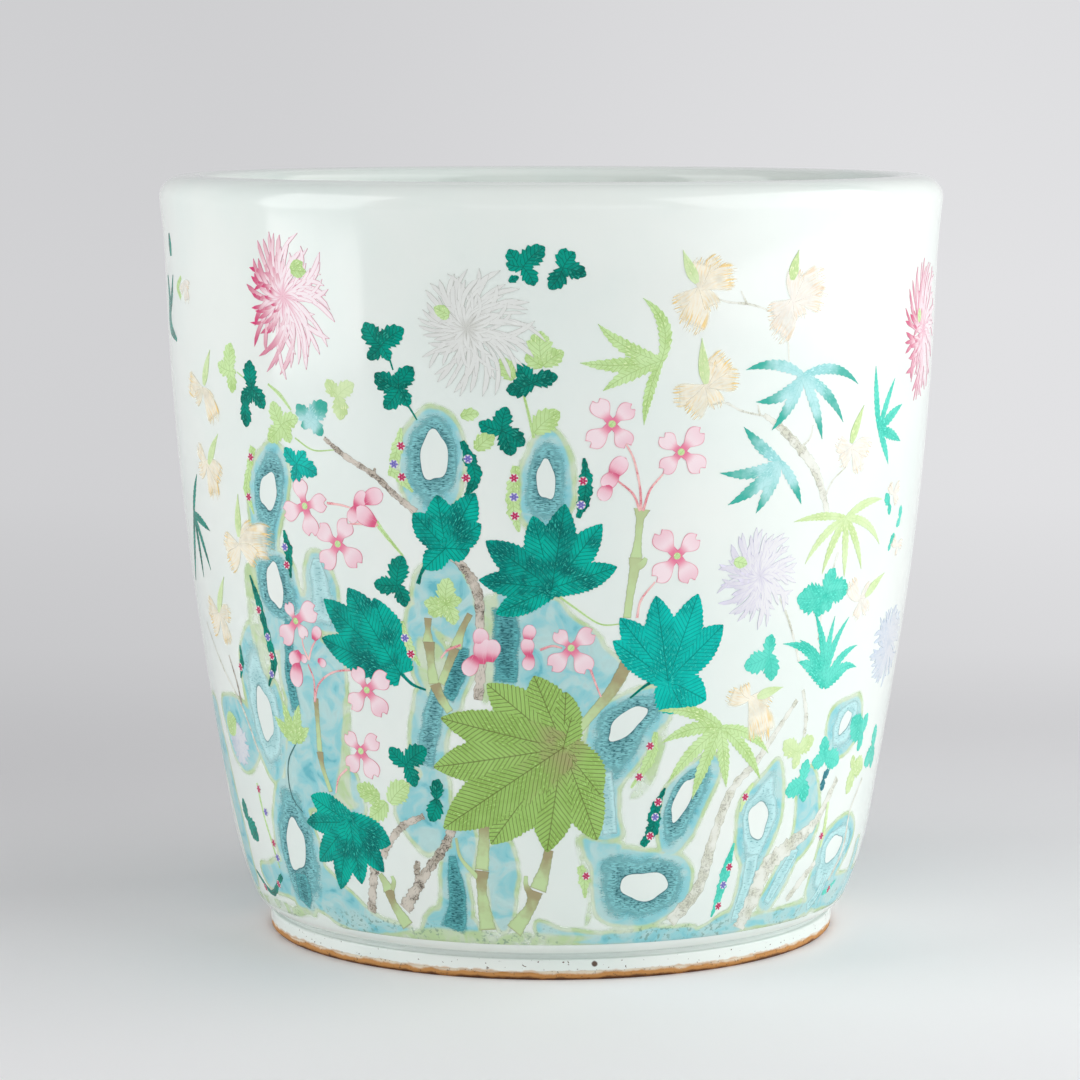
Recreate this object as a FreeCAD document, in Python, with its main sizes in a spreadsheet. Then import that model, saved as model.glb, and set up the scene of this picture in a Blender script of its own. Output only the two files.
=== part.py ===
import FreeCAD, Part
import math
import os
import re
import Sketcher

# Large round porcelain jardiniere, in millimetres. +Z is up, the axis of the pot is Z, and the origin is the
# centre of the circle that the foot stands on. Radii and heights named here are those of the finished, glazed
# surface: the clay lies one glaze coat inside them.

DRIVING_DIMENSIONS = (
    ("glaze", 0.5, "thickness of either glaze coat"),
    ("wall", 13.0, "wall thickness with both coats, measured level"),
    # foot
    ("foot_radius", 146.0, "outside of the foot"),
    ("foot_bore", 126.0, "inside of the foot ring"),
    ("foot_rise", 10.4, "foot's height, up to the ledge under the wall"),
    ("bare_rise", 4.4, "height of the wiped, unglazed edge"),
    ("foot_edge", 1.2, "rounding of the foot's two lower edges"),
    # groove and heel
    ("groove_radius", 143.2, "bottom of the groove over the foot"),
    ("groove_rise", 12.6, "top of the groove"),
    ("heel_radius", 153.5, "wall where the heel's rounding ends"),
    ("heel_rise", 20.0, "height of that circle"),
    ("heel_curve", 12.0, "rounding of the heel in section"),
    # wall
    ("knee_radius", 165.6, "wall where its flare eases"),
    ("knee_rise", 60.0, "height of that circle"),
    ("knee_curve", 184.0, "curve of the wall from heel to knee"),
    ("seam_radius", 180.5, "wall at the luted joint, below the slip"),
    ("seam_rise", 150.0, "height of the joint"),
    ("seam_slip", 1.2, "thickness of the slip in the joint"),
    ("seam_step", 0.18, "growth of the radius across the slip"),
    ("belly_curve", 3100.0, "curve of the wall from knee to joint"),
    ("neck_radius", 197.35, "wall where the rim begins"),
    ("neck_rise", 340.0, "height of that circle"),
    ("shoulder_curve", 1590.0, "curve of the wall from joint to neck"),
    # rim
    ("top_rise", 388.0, "whole height"),
    ("flare_curve", 373.0, "hollow curve that swells the neck into the rim"),
    ("rim_radius", 199.92, "where that curve meets the rim's outer corner"),
    ("rim_rise", 374.8, "height of that circle"),
    ("rim_corner", 11.3, "rounding of the rim's outer corner"),
    ("corner_radius", 191.6, "where that corner meets the domed top"),
    ("dome_drop", 0.9, "fall of the domed top to either side of its crest"),
    ("dome_curve", 25.3, "curve of the domed top"),
    ("crest_radius", 185.0, "crest of the rim"),
    ("lip_radius", 178.5, "where the domed top meets the inner corner"),
    ("lip_corner", 6.0, "rounding of the inner corner"),
    ("mouth_radius", 174.0, "mouth of the pot"),
    ("mouth_rise", 381.3, "top of the mouth's straight wall"),
    ("mouth_foot", 366.0, "bottom of the mouth's straight wall"),
    ("under_lip", 8.0, "rounding under the mouth"),
    ("under_radius", 176.34, "where that rounding meets the slope under the lip"),
    ("under_rise", 360.34, "height of that circle"),
    ("slope_radius", 181.42, "foot of the slope under the lip"),
    ("slope_rise", 355.3, "height of that circle"),
    ("under_hollow", 10.0, "hollow between the slope and the wall"),
    ("hollow_rise", 348.2, "where the wall begins below the hollow"),
    # inside
    ("floor_rise", 24.5, "height of the floor, with its glaze"),
    ("floor_radius", 132.0, "flat part of the floor"),
    ("base_radius", 140.0, "clay disc of the base"),
    ("dish_rise", 27.1, "floor's height where the base disc meets the wall"),
    ("dish_curve", 14.0, "rounding between the floor and the wall"),
    ("dish_radius", 144.0, "wall's inside where that rounding ends"),
    ("dish_top", 31.5, "height of that circle"),
    ("inner_knee", 113.0, "curve of the wall's inside below the knee"),
)

doc = FreeCAD.newDocument("Jardiniere")
sheet = doc.addObject("Spreadsheet::Sheet", "Dims")
for row, (alias, value, note) in enumerate(DRIVING_DIMENSIONS, start=1):
    sheet.set("A%d" % row, alias)
    sheet.set("B%d" % row, str(value))
    sheet.setAlias("B%d" % row, alias)
    sheet.set("C%d" % row, note)
doc.recompute()

AXIS = "0"
STRAIGHT = ""


def bound(words):
    """The expression in which each name in the words is a cell of the sheet."""
    return re.sub(r"[a-z_]+", lambda name: "Dims." + name.group(0), words)


def number(words):
    """The value of such an expression."""
    return float(sheet.evalExpression(bound(words)))


def edge_between(start, end, curve):
    """The sketch edge from start to end, and which of its ends is the start. A curve bulges out of the solid, one
    with a minus sign hollows it: the outline runs anticlockwise, so its centre is on the left of a bulge."""
    if curve == STRAIGHT:
        return Part.LineSegment(start, end), 1
    radius = number(curve)
    chord = end - start
    left = FreeCAD.Vector(-chord.y, chord.x, 0).normalize()
    rise = math.sqrt(radius * radius - chord.Length * chord.Length / 4)
    centre = (start + end) / 2 + left * math.copysign(rise, radius)
    first, last = (start, end) if radius > 0 else (end, start)
    first_angle = math.atan2(first.y - centre.y, first.x - centre.x)
    last_angle = math.atan2(last.y - centre.y, last.x - centre.x)
    circle = Part.Circle(centre, FreeCAD.Vector(0, 0, 1), abs(radius))
    return Part.ArcOfCircle(circle, first_angle, last_angle), (1 if radius > 0 else 2)


def hold(sketch, kind, words, *where):
    """Adds a driving dimension to the sketch and binds it to the sheet."""
    index = sketch.addConstraint(Sketcher.Constraint(kind, *where, abs(number(words))))
    sketch.setExpression("Constraints[%d]" % index, bound(words.lstrip("-")))


def section(body, corners):
    """Half section of a turned piece, drawn in its body's XZ plane. Each corner is its radius, its height and the
    curve of the edge that leaves it."""
    sketch = body.newObject("Sketcher::SketchObject", body.Name + "_section")
    planes = [plane for plane in body.Origin.OriginFeatures if plane.Role == "XZ_Plane"]
    sketch.AttachmentSupport = [(planes[0], "")]
    sketch.MapMode = "FlatFace"
    points = [FreeCAD.Vector(number(radius), number(height), 0) for radius, height, _ in corners]
    edges = []
    for place, (_, _, curve) in enumerate(corners):
        edges.append(edge_between(points[place], points[(place + 1) % len(points)], curve))
        sketch.addGeometry(edges[place][0], False)
    for place, (radius, height, curve) in enumerate(corners):
        start = edges[place][1]
        before = place - 1 if place else len(corners) - 1
        end_before = 3 - edges[before][1]
        sketch.addConstraint(Sketcher.Constraint("Coincident", before, end_before, place, start))
        if radius == AXIS:
            sketch.addConstraint(Sketcher.Constraint("PointOnObject", place, start, -2))
        else:
            hold(sketch, "DistanceX", radius, -1, 1, place, start)
        if height == "0":
            sketch.addConstraint(Sketcher.Constraint("PointOnObject", place, start, -1))
        else:
            hold(sketch, "DistanceY", height, -1, 1, place, start)
        if curve != STRAIGHT:
            hold(sketch, "Radius", curve, place)
    return sketch


def turned(name, corners):
    """A body turned about the pot's axis from its half section."""
    body = doc.addObject("PartDesign::Body", name)
    body.Label = name
    body.Placement = FreeCAD.Placement()
    sketch = section(body, corners)
    turn = body.newObject("PartDesign::Revolution", name + "_turned")
    turn.Profile = (sketch, [""])
    turn.ReferenceAxis = (sketch, ["V_Axis"])
    turn.Angle = 360
    sketch.Visibility = False
    doc.recompute()
    return body


def rounded(body, heights, size):
    """Rounds the body's circular edges that lie at the given heights."""
    base = body.Tip
    names = []
    for index, edge in enumerate(base.Shape.Edges, start=1):
        box = edge.BoundBox
        level = box.ZMax - box.ZMin < 1e-6
        if level and any(abs(box.ZMin - number(height)) < 1e-6 for height in heights):
            names.append("Edge%d" % index)
    fillet = body.newObject("PartDesign::Fillet", body.Name + "_rounded")
    fillet.Base = (base, names)
    fillet.Radius = number(size)
    fillet.setExpression("Radius", bound(size))
    body.Tip = fillet
    doc.recompute()
    return body


# Foot ring: stands on the floor, bare below the wiped line, and carries the base and the wall on its flat top.
foot_ring = turned(
    "foot_ring",
    [
        ("foot_bore", "0", STRAIGHT),
        ("foot_radius - glaze", "0", STRAIGHT),
        ("foot_radius - glaze", "foot_rise - glaze", STRAIGHT),
        ("foot_bore", "foot_rise - glaze", STRAIGHT),
    ],
)
rounded(foot_ring, ["0"], "foot_edge")

# Base slab: a clay disc on the foot ring, dished up where it meets the wall.
base_slab = turned(
    "base_slab",
    [
        (AXIS, "foot_rise - glaze", STRAIGHT),
        ("base_radius", "foot_rise - glaze", STRAIGHT),
        ("base_radius", "dish_rise - glaze", "-dish_curve"),
        ("floor_radius", "floor_rise - glaze", STRAIGHT),
        (AXIS, "floor_rise - glaze", STRAIGHT),
    ],
)

# Lower wall: thrown round the base, with the groove and the rounded heel turned into its outside.
lower_wall = turned(
    "lower_wall",
    [
        ("base_radius", "foot_rise - glaze", STRAIGHT),
        ("groove_radius - glaze", "foot_rise - glaze", STRAIGHT),
        ("groove_radius - glaze", "groove_rise", "heel_curve"),
        ("heel_radius - glaze", "heel_rise", "knee_curve"),
        ("knee_radius - glaze", "knee_rise", "belly_curve"),
        ("seam_radius - glaze", "seam_rise", STRAIGHT),
        ("seam_radius - wall + glaze", "seam_rise", "-belly_curve"),
        ("knee_radius - wall + glaze", "knee_rise", "-inner_knee"),
        ("dish_radius", "dish_top - glaze", "-dish_curve"),
        ("base_radius", "dish_rise - glaze", STRAIGHT),
    ],
)

# Luting seam: the ring of slip that joins the two thrown sections.
luting_seam = turned(
    "luting_seam",
    [
        ("seam_radius - wall + glaze", "seam_rise", STRAIGHT),
        ("seam_radius - glaze", "seam_rise", STRAIGHT),
        ("seam_radius + seam_step - glaze", "seam_rise + seam_slip", STRAIGHT),
        ("seam_radius + seam_step - wall + glaze", "seam_rise + seam_slip", STRAIGHT),
    ],
)

# Upper wall: from the joint to the neck, of even thickness.
upper_wall = turned(
    "upper_wall",
    [
        ("seam_radius + seam_step - wall + glaze", "seam_rise + seam_slip", STRAIGHT),
        ("seam_radius + seam_step - glaze", "seam_rise + seam_slip", "shoulder_curve"),
        ("neck_radius - glaze", "neck_rise", STRAIGHT),
        ("neck_radius - wall + glaze", "neck_rise", "-shoulder_curve"),
    ],
)

# Rim roll: swells from the neck, has a softly domed top and turns in over the wall.
rim_roll = turned(
    "rim_roll",
    [
        ("neck_radius - wall + glaze", "neck_rise", STRAIGHT),
        ("neck_radius - glaze", "neck_rise", "-flare_curve"),
        ("rim_radius - glaze", "rim_rise", "rim_corner - glaze"),
        ("corner_radius", "top_rise - dome_drop - glaze", "dome_curve"),
        ("crest_radius", "top_rise - glaze", "dome_curve"),
        ("lip_radius", "top_rise - dome_drop - glaze", "lip_corner - glaze"),
        ("mouth_radius + glaze", "mouth_rise", STRAIGHT),
        ("mouth_radius + glaze", "mouth_foot", "under_lip - glaze"),
        ("under_radius + glaze", "under_rise", STRAIGHT),
        ("slope_radius + glaze", "slope_rise", "-under_hollow"),
        ("neck_radius - wall + glaze", "hollow_rise", STRAIGHT),
    ],
)

# Outer glaze: a coat over the outside, from the rim's crest to the wiped line on the foot.
outer_glaze = turned(
    "outer_glaze",
    [
        ("foot_radius - glaze", "bare_rise", STRAIGHT),
        ("foot_radius", "bare_rise", STRAIGHT),
        ("foot_radius", "foot_rise", STRAIGHT),
        ("groove_radius", "foot_rise", STRAIGHT),
        ("groove_radius", "groove_rise", "heel_curve"),
        ("heel_radius", "heel_rise", "knee_curve"),
        ("knee_radius", "knee_rise", "belly_curve"),
        ("seam_radius", "seam_rise", STRAIGHT),
        ("seam_radius + seam_step", "seam_rise + seam_slip", "shoulder_curve"),
        ("neck_radius", "neck_rise", "-flare_curve"),
        ("rim_radius", "rim_rise", "rim_corner"),
        ("corner_radius", "top_rise - dome_drop", "dome_curve"),
        ("crest_radius", "top_rise", STRAIGHT),
        ("crest_radius", "top_rise - glaze", "-dome_curve"),
        ("corner_radius", "top_rise - dome_drop - glaze", "-(rim_corner - glaze)"),
        ("rim_radius - glaze", "rim_rise", "flare_curve"),
        ("neck_radius - glaze", "neck_rise", "-shoulder_curve"),
        ("seam_radius + seam_step - glaze", "seam_rise + seam_slip", STRAIGHT),
        ("seam_radius - glaze", "seam_rise", "-belly_curve"),
        ("knee_radius - glaze", "knee_rise", "-knee_curve"),
        ("heel_radius - glaze", "heel_rise", "-heel_curve"),
        ("groove_radius - glaze", "groove_rise", STRAIGHT),
        ("groove_radius - glaze", "foot_rise - glaze", STRAIGHT),
        ("foot_radius - glaze", "foot_rise - glaze", STRAIGHT),
    ],
)

# Inner glaze: a coat from the rim's crest down the inside and over the whole floor.
inner_glaze = turned(
    "inner_glaze",
    [
        (AXIS, "floor_rise - glaze", STRAIGHT),
        ("floor_radius", "floor_rise - glaze", "dish_curve"),
        ("base_radius", "dish_rise - glaze", "dish_curve"),
        ("dish_radius", "dish_top - glaze", "inner_knee"),
        ("knee_radius - wall + glaze", "knee_rise", "belly_curve"),
        ("seam_radius - wall + glaze", "seam_rise", STRAIGHT),
        ("seam_radius + seam_step - wall + glaze", "seam_rise + seam_slip", "shoulder_curve"),
        ("neck_radius - wall + glaze", "neck_rise", STRAIGHT),
        ("neck_radius - wall + glaze", "hollow_rise", "under_hollow"),
        ("slope_radius + glaze", "slope_rise", STRAIGHT),
        ("under_radius + glaze", "under_rise", "-(under_lip - glaze)"),
        ("mouth_radius + glaze", "mouth_foot", STRAIGHT),
        ("mouth_radius + glaze", "mouth_rise", "-(lip_corner - glaze)"),
        ("lip_radius", "top_rise - dome_drop - glaze", "-dome_curve"),
        ("crest_radius", "top_rise - glaze", STRAIGHT),
        ("crest_radius", "top_rise", "dome_curve"),
        ("lip_radius", "top_rise - dome_drop", "lip_corner"),
        ("mouth_radius", "mouth_rise", STRAIGHT),
        ("mouth_radius", "mouth_foot", "under_lip"),
        ("under_radius", "under_rise", STRAIGHT),
        ("slope_radius", "slope_rise", "-under_hollow"),
        ("neck_radius - wall", "hollow_rise", STRAIGHT),
        ("neck_radius - wall", "neck_rise", "-shoulder_curve"),
        ("seam_radius + seam_step - wall", "seam_rise + seam_slip", STRAIGHT),
        ("seam_radius - wall", "seam_rise", "-belly_curve"),
        ("knee_radius - wall", "knee_rise", "-inner_knee"),
        ("dish_radius - glaze", "dish_top", "-dish_curve"),
        ("base_radius - glaze", "dish_rise", "-dish_curve"),
        ("floor_radius", "floor_rise", STRAIGHT),
        (AXIS, "floor_rise", STRAIGHT),
    ],
)

PIECES = [
    foot_ring,
    base_slab,
    lower_wall,
    luting_seam,
    upper_wall,
    rim_roll,
    outer_glaze,
    inner_glaze,
]

doc.recompute()
for thing in doc.Objects:
    if "Invalid" in thing.State or "Error" in thing.State:
        raise RuntimeError("%s did not recompute: %s" % (thing.Name, thing.State))
for piece in PIECES:
    if piece.Shape.isNull() or not piece.Shape.isValid() or len(piece.Shape.Solids) != 1:
        raise RuntimeError("%s is not one valid solid" % piece.Label)

os.makedirs("parts", exist_ok=True)
for piece in PIECES:
    piece.Shape.exportStep("parts/%s.step" % piece.Label)
    print("%-12s %10.1f mm3" % (piece.Label, piece.Shape.Volume))
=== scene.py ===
import math

import bpy
import numpy as np
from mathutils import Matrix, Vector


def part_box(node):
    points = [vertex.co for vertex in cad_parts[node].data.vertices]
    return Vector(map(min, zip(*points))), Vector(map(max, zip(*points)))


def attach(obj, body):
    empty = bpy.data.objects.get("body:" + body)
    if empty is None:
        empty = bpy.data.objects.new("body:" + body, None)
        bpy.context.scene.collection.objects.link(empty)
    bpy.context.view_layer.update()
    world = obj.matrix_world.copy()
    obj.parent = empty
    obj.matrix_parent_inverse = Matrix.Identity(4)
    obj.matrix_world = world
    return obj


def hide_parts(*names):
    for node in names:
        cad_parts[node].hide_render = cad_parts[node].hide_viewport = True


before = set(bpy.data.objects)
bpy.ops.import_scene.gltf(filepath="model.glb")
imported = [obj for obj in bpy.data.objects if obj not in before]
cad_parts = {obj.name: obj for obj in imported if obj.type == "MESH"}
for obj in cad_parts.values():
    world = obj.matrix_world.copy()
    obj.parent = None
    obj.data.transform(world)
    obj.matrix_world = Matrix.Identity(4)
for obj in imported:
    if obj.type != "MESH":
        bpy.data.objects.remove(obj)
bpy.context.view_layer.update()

MM = 0.001
SEED = 11

# ---------------------------------------------------------------- sizes, in millimetres

RIM_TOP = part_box("outer_glaze")[1].z / MM
BARE_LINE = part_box("outer_glaze")[0].z / MM
FOOT_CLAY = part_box("foot_ring")[1].x / MM
FLOOR_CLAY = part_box("inner_glaze")[0].z / MM
BASE_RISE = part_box("base_slab")[0].z / MM
GLAZE = 0.5
FOOT = FOOT_CLAY + GLAZE
FLOOR = FLOOR_CLAY + GLAZE
FOOT_BORE = 126.0

# The glazed surface in section, from the foot's wiped line up the outside, over the rim and down to the middle of
# the floor. Each row is a radius, a height, the curve of the stretch that leaves it (0 is straight, minus is
# hollow) and the number of rows of faces along that stretch.
GLAZED_SECTION = (
    (FOOT, BARE_LINE, 0, 4),
    (FOOT, 9.7, 0.7, 3),
    (FOOT - 0.7, 10.4, 0, 2),
    (143.7, 10.4, -0.5, 3),
    (143.2, 10.9, 0, 2),
    (143.2, 12.6, 12, 7),
    (153.5, 20.0, 184, 14),
    (165.6, 60.0, 3100, 22),
    (180.5, 150.0, 1590, 42),
    (197.35, 340.0, -373, 10),
    (199.89, 374.8, 11.3, 14),
    (191.6, RIM_TOP - 0.9, 25.3, 4),
    (185.0, RIM_TOP, 25.3, 4),
    (178.5, RIM_TOP - 0.9, 6, 7),
    (174.0, 381.3, 0, 3),
    (174.0, 366.0, 8, 5),
    (176.34, 360.34, 0, 2),
    (181.42, 355.3, -10, 5),
    (184.35, 348.2, 0, 2),
    (184.35, 340.0, -1590, 24),
    (167.5, 150.0, -3100, 12),
    (152.6, 60.0, -113, 6),
    (143.5, 31.5, -14, 6),
    (132.0, FLOOR, 0, 10),
    (0.0, FLOOR, 0, 0),
)
WALL_START, WALL_END = 5, 10

# The bare clay in section, from under the glaze's edge down over the foot and in under the base.
BARE_SECTION = (
    (FOOT_CLAY, 7.0, 0, 5),
    (FOOT_CLAY, 1.2, 1.2, 4),
    (FOOT_CLAY - 1.2, 0.0, 0, 9),
    (FOOT_BORE + 1.2, 0.0, 1.2, 4),
    (FOOT_BORE, 1.2, 0, 5),
    (FOOT_BORE, BASE_RISE - 1.5, -1.5, 4),
    (FOOT_BORE - 1.5, BASE_RISE, 0, 60),
    (0.0, BASE_RISE, 0, 0),
)
TURNS = 480  # faces round the pot

LOWEST_PAINT = 19.0  # the ground wash stops here, above the heel
DEPTH = 0.06  # how far an enamel's underside lies below the glaze's surface
WASH, ROCK, STEM, LEAF, FLOWER, DETAIL = 0.04, 0.07, 0.11, 0.15, 0.21, 0.27  # how far each stands above it
GREEN_BAND = 5.5  # how far the wash's green edge reaches outside the turquoise
PIXEL = 0.514  # of wall to a photograph pixel, square on
CELL = 47.0  # small motifs of one kind within one square of the sheet are fired as one piece
ROUND = 185.0  # one radian of turn is this many millimetres of the unrolled sheet

# ---------------------------------------------------------------- the camera of the photograph

PHOTO = 1080
CENTRE = PHOTO / 2
FOCAL_PX = 3993.0
SENSOR = 36.0
EYE = np.array([0.0, -2052.0, 434.0])
NEAREST = 1700.0  # short of the pot from the camera
PITCH = math.radians(6.53)
PAN = math.atan((551.0 - CENTRE) / FOCAL_PX)

# ---------------------------------------------------------------- sections and the wall


def arc_points(start, end, curve, rows):
    """Points from start up to but not including end. A curve other than 0 is the radius of a circle through both:
    its centre is half a chord away along the chord and the rest away square to it, on the left for a bulge."""
    share = np.arange(rows) / rows
    chord = end - start
    if not curve:
        return start + share[:, None] * chord
    length = np.hypot(*chord)
    left = np.array([-chord[1], chord[0]]) / length
    centre = (start + end) / 2 + left * math.copysign(math.sqrt(curve**2 - length**2 / 4), curve)
    first = np.arctan2(*(start - centre)[::-1])
    sweep = 2 * math.asin(length / 2 / abs(curve)) * math.copysign(1, curve)
    angle = first + share * sweep
    return centre + abs(curve) * np.column_stack([np.cos(angle), np.sin(angle)])


def section_points(section, first=0, last=None):
    """The section's points in order, (radius, height), with the last corner included."""
    corners = [np.array(row[:2], float) for row in section]
    last = len(section) - 1 if last is None else last
    runs = [arc_points(corners[i], corners[i + 1], *section[i][2:]) for i in range(first, last)]
    return np.vstack([*runs, corners[last][None]])


FINER = 4  # times the section's rows, where the wall's radius is read off
WALL_POINTS = section_points([(*row[:3], row[3] * FINER) for row in GLAZED_SECTION], WALL_START, WALL_END)


def uneven(turn, height):
    """How far the thrown surface lies inside a true circle: slow waves round the pot and up it, and faint rings,
    fading at the foot and at the rim."""
    wave = np.sin(2 * turn + 0.6) + 0.5 * np.sin(3 * turn - height / 60) + 0.4 * np.sin(5 * turn + height / 35)
    rings = np.sin(height / 9 + 0.4 * np.sin(turn))
    ease = np.clip((height - 12) / 60, 0, 1) * np.clip((RIM_TOP - height) / 60, 0, 1)
    return ease * (0.28 - 0.09 * wave - 0.02 * rings)


def wall_radius(turn, height):
    """Radius of the glazed wall at a turn and a height."""
    return np.interp(height, WALL_POINTS[:, 1], WALL_POINTS[:, 0]) - uneven(turn, height)


def round_axis(radius, turn, height):
    """Places from radii, turns and heights, in metres. Turn 0 faces the camera."""
    return np.stack([radius * np.sin(turn), -radius * np.cos(turn), height], -1) * MM


def on_wall(sheet, lift):
    """Places sheet points (millimetres round, millimetres up) on the wall, lifted square to the pot's axis."""
    turn, height = sheet[..., 0] / ROUND, sheet[..., 1]
    return round_axis(wall_radius(turn, height) + lift, turn, height)


def seen(pixels):
    """Sheet points of photograph pixels: the camera's rays are halved down to where they meet the wall, between a
    distance short of the pot and each ray's nearest point to the axis."""
    pixels = np.atleast_2d(np.asarray(pixels, float))
    across = (pixels[:, 0] - CENTRE) / FOCAL_PX
    up = (CENTRE - pixels[:, 1]) / FOCAL_PX
    ahead = math.cos(PITCH) + up * math.sin(PITCH)
    rise = up * math.cos(PITCH) - math.sin(PITCH)
    sideways = across * math.cos(PAN) - ahead * math.sin(PAN)
    ray = np.column_stack([sideways, ahead * math.cos(PAN) + across * math.sin(PAN), rise])
    level = ray[:, :2]
    near = np.full(len(ray), NEAREST)
    far = -(level @ EYE[:2]) / (level**2).sum(1)
    for _ in range(40):
        middle = (near + far) / 2
        point = EYE + middle[:, None] * ray
        turn = np.arctan2(point[:, 0], -point[:, 1])
        outside = np.hypot(point[:, 0], point[:, 1]) > wall_radius(turn, point[:, 2])
        near, far = np.where(outside, middle, near), np.where(outside, far, middle)
    point = EYE + near[:, None] * ray
    return np.column_stack([np.arctan2(point[:, 0], -point[:, 1]) * ROUND, point[:, 2]])


# ---------------------------------------------------------------- shader helpers


class Amount:
    """A value or colour that varies over a surface: one output of a shader node. Arithmetic adds a math node."""

    def __init__(self, socket):
        self.socket, self.tree = socket, socket.id_data

    def __add__(self, other):
        return maths("ADD", self, other)

    def __sub__(self, other):
        return maths("SUBTRACT", self, other)

    def __rsub__(self, other):
        return maths("SUBTRACT", other, self)

    def __mul__(self, other):
        return maths("MULTIPLY", self, other)

    def __truediv__(self, other):
        return maths("DIVIDE", self, other)

    def __abs__(self):
        return maths("ABSOLUTE", self)


def connect(made, inputs):
    """Links or sets a node's inputs."""
    for key, value in inputs.items():
        if isinstance(value, Amount):
            value.tree.links.new(value.socket, made.inputs[key])
        else:
            made.inputs[key].default_value = value


def put(tree, kind, inputs=None, **settings):
    """A shader node with its settings and its inputs."""
    made = tree.nodes.new("ShaderNode" + kind)
    for name, value in settings.items():
        setattr(made, name, value)
    connect(made, inputs or {})
    return made


def amount(tree, kind, inputs=None, output=0, **settings):
    """What a new shader node puts out."""
    return Amount(put(tree, kind, inputs, **settings).outputs[output])


def maths(operation, first, second=0.0):
    """A math node's result. At least one of the two varies."""
    tree = first.tree if isinstance(first, Amount) else second.tree
    return amount(tree, "Math", {0: first, 1: second}, operation=operation)


def larger(result, *others):
    for other in others:
        result = maths("MAXIMUM", result, other)
    return result


def split(vector):
    """A vector's three parts."""
    return [Amount(part) for part in put(vector.tree, "SeparateXYZ", {0: vector}).outputs]


def linear(red, green, blue):
    """A colour given as the eye reads it, 0 to 255, in the renderer's linear scale."""
    shares = np.array([red, green, blue]) / 255
    low, high = shares / 12.92, ((shares + 0.055) / 1.055) ** 2.4
    return (*np.where(shares <= 0.04045, low, high), 1.0)


def tinted(share, first, second):
    """The first colour turning into the second as share goes from 0 to 1. Three numbers are a colour as the eye
    reads it."""
    first, second = (linear(*c) if isinstance(c, tuple) and len(c) == 3 else c for c in (first, second))
    return amount(share.tree, "Mix", {0: share, 6: first, 7: second}, 2, data_type="RGBA")


def eased(value, low, high, bottom=0.0, top=1.0):
    """A smooth step of value from bottom at low to top at high."""
    inputs = {0: value, 1: low, 2: high, 3: bottom, 4: top}
    return amount(value.tree, "MapRange", inputs, interpolation_type="SMOOTHSTEP")


def on_pot(tree):
    return amount(tree, "TexCoord", output="Object")


def speckle(tree, scale, detail, spin=0.0):
    """Noise on the pot's own coordinates."""
    inputs = {"Vector": on_pot(tree), "Scale": scale, "Detail": detail, "Distortion": spin}
    return amount(tree, "TexNoise", inputs)


def relief(height, distance, strength):
    return amount(height.tree, "Bump", {"Height": height, "Distance": distance, "Strength": strength})


def uv(tree, name):
    return amount(tree, "UVMap", uv_map=name)


def attribute(tree, name):
    return amount(tree, "Attribute", output="Fac", attribute_name=name)


def shared(name, build, **takes):
    """A node group built once. It takes values by name, with their defaults, or None for a vector. Build gets them
    and returns what the group puts out, by name."""
    tree = bpy.data.node_groups.new(name, "ShaderNodeTree")
    for label, value in takes.items():
        kind = "NodeSocketVector" if value is None else "NodeSocketFloat"
        socket = tree.interface.new_socket(label, in_out="INPUT", socket_type=kind)
        if value is not None:
            socket.default_value = value
    start = tree.nodes.new("NodeGroupInput")
    made = build(tree, **{label: Amount(start.outputs[label]) for label in takes})
    for label in made:
        tree.interface.new_socket(label, in_out="OUTPUT", socket_type="NodeSocketFloat")
    connect(tree.nodes.new("NodeGroupOutput"), made)
    return tree


def use(tree, group, **inputs):
    """The shared effect placed in a material with its own values: what it puts out, by name."""
    return {socket.name: Amount(socket) for socket in put(tree, "Group", inputs, node_tree=group).outputs}


def build_veins(tree, measure, spacing, slant, width, rib):
    """Herringbone: side veins lean towards the tip from a midrib. The phase is the distance along less the slant
    times the distance from the midrib, over the spacing, and a vein is where the phase is near a whole number."""
    across, along, _ = split(measure)
    across = abs(across)
    phase = maths("FRACT", (along - across * slant + speckle(tree, 260, 1) * 0.6) / spacing)
    return {"mask": larger(eased(abs(phase - 0.5), 0.5 - width, 0.5), eased(across, rib, 0.0))}


def build_outline(tree, motif, width, tip):
    """A line along a blade's two edges and round its tip."""
    across, along, _ = split(motif)
    across = abs(across * 2.0 - 1.0)
    mask = larger(eased(across, 1.0 - width, 1.0), eased(along, 1.0 - tip, 1.0))
    return {"mask": mask, "across": across, "along": along}


def build_strokes(tree, measure, spacing, length, layer, density):
    """Short brush strokes: noise drawn out along one direction of the measure, cut at a level."""
    fine, long, _ = split(measure)
    where = amount(tree, "CombineXYZ", {0: fine / spacing, 1: long / length, 2: layer})
    noise = amount(tree, "TexNoise", {"Vector": where, "Scale": 1, "Detail": 1})
    level = 1.0 - density
    return {"mask": eased(noise, level, level + 0.12)}


VEINS = shared("painted_veins", build_veins, measure=None, spacing=2.6, slant=0.9, width=0.2, rib=0.5)
OUTLINE = shared("painted_outline", build_outline, motif=None, width=0.2, tip=0.1)
STROKES = shared(
    "brush_strokes", build_strokes, measure=None, spacing=0.8, length=5.0, layer=0.0, density=0.5
)


def brushed(tree, spacing, length, density, layer=0.0):
    """Brush strokes on the piece's own measure."""
    values = {"spacing": spacing, "length": length, "density": density, "layer": layer}
    return use(tree, STROKES, measure=uv(tree, "measure"), **values)["mask"]


def fresh(name):
    """A new material and its tree."""
    material = bpy.data.materials.new(name)
    material.use_nodes = True
    return material, material.node_tree


def shade(material, **inputs):
    """Gives the material's shader its inputs, named with underscores."""
    shader = material.node_tree.nodes["Principled BSDF"]
    connect(shader, {name.replace("_", " "): value for name, value in inputs.items()})
    return material


# ---------------------------------------------------------------- materials

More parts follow.
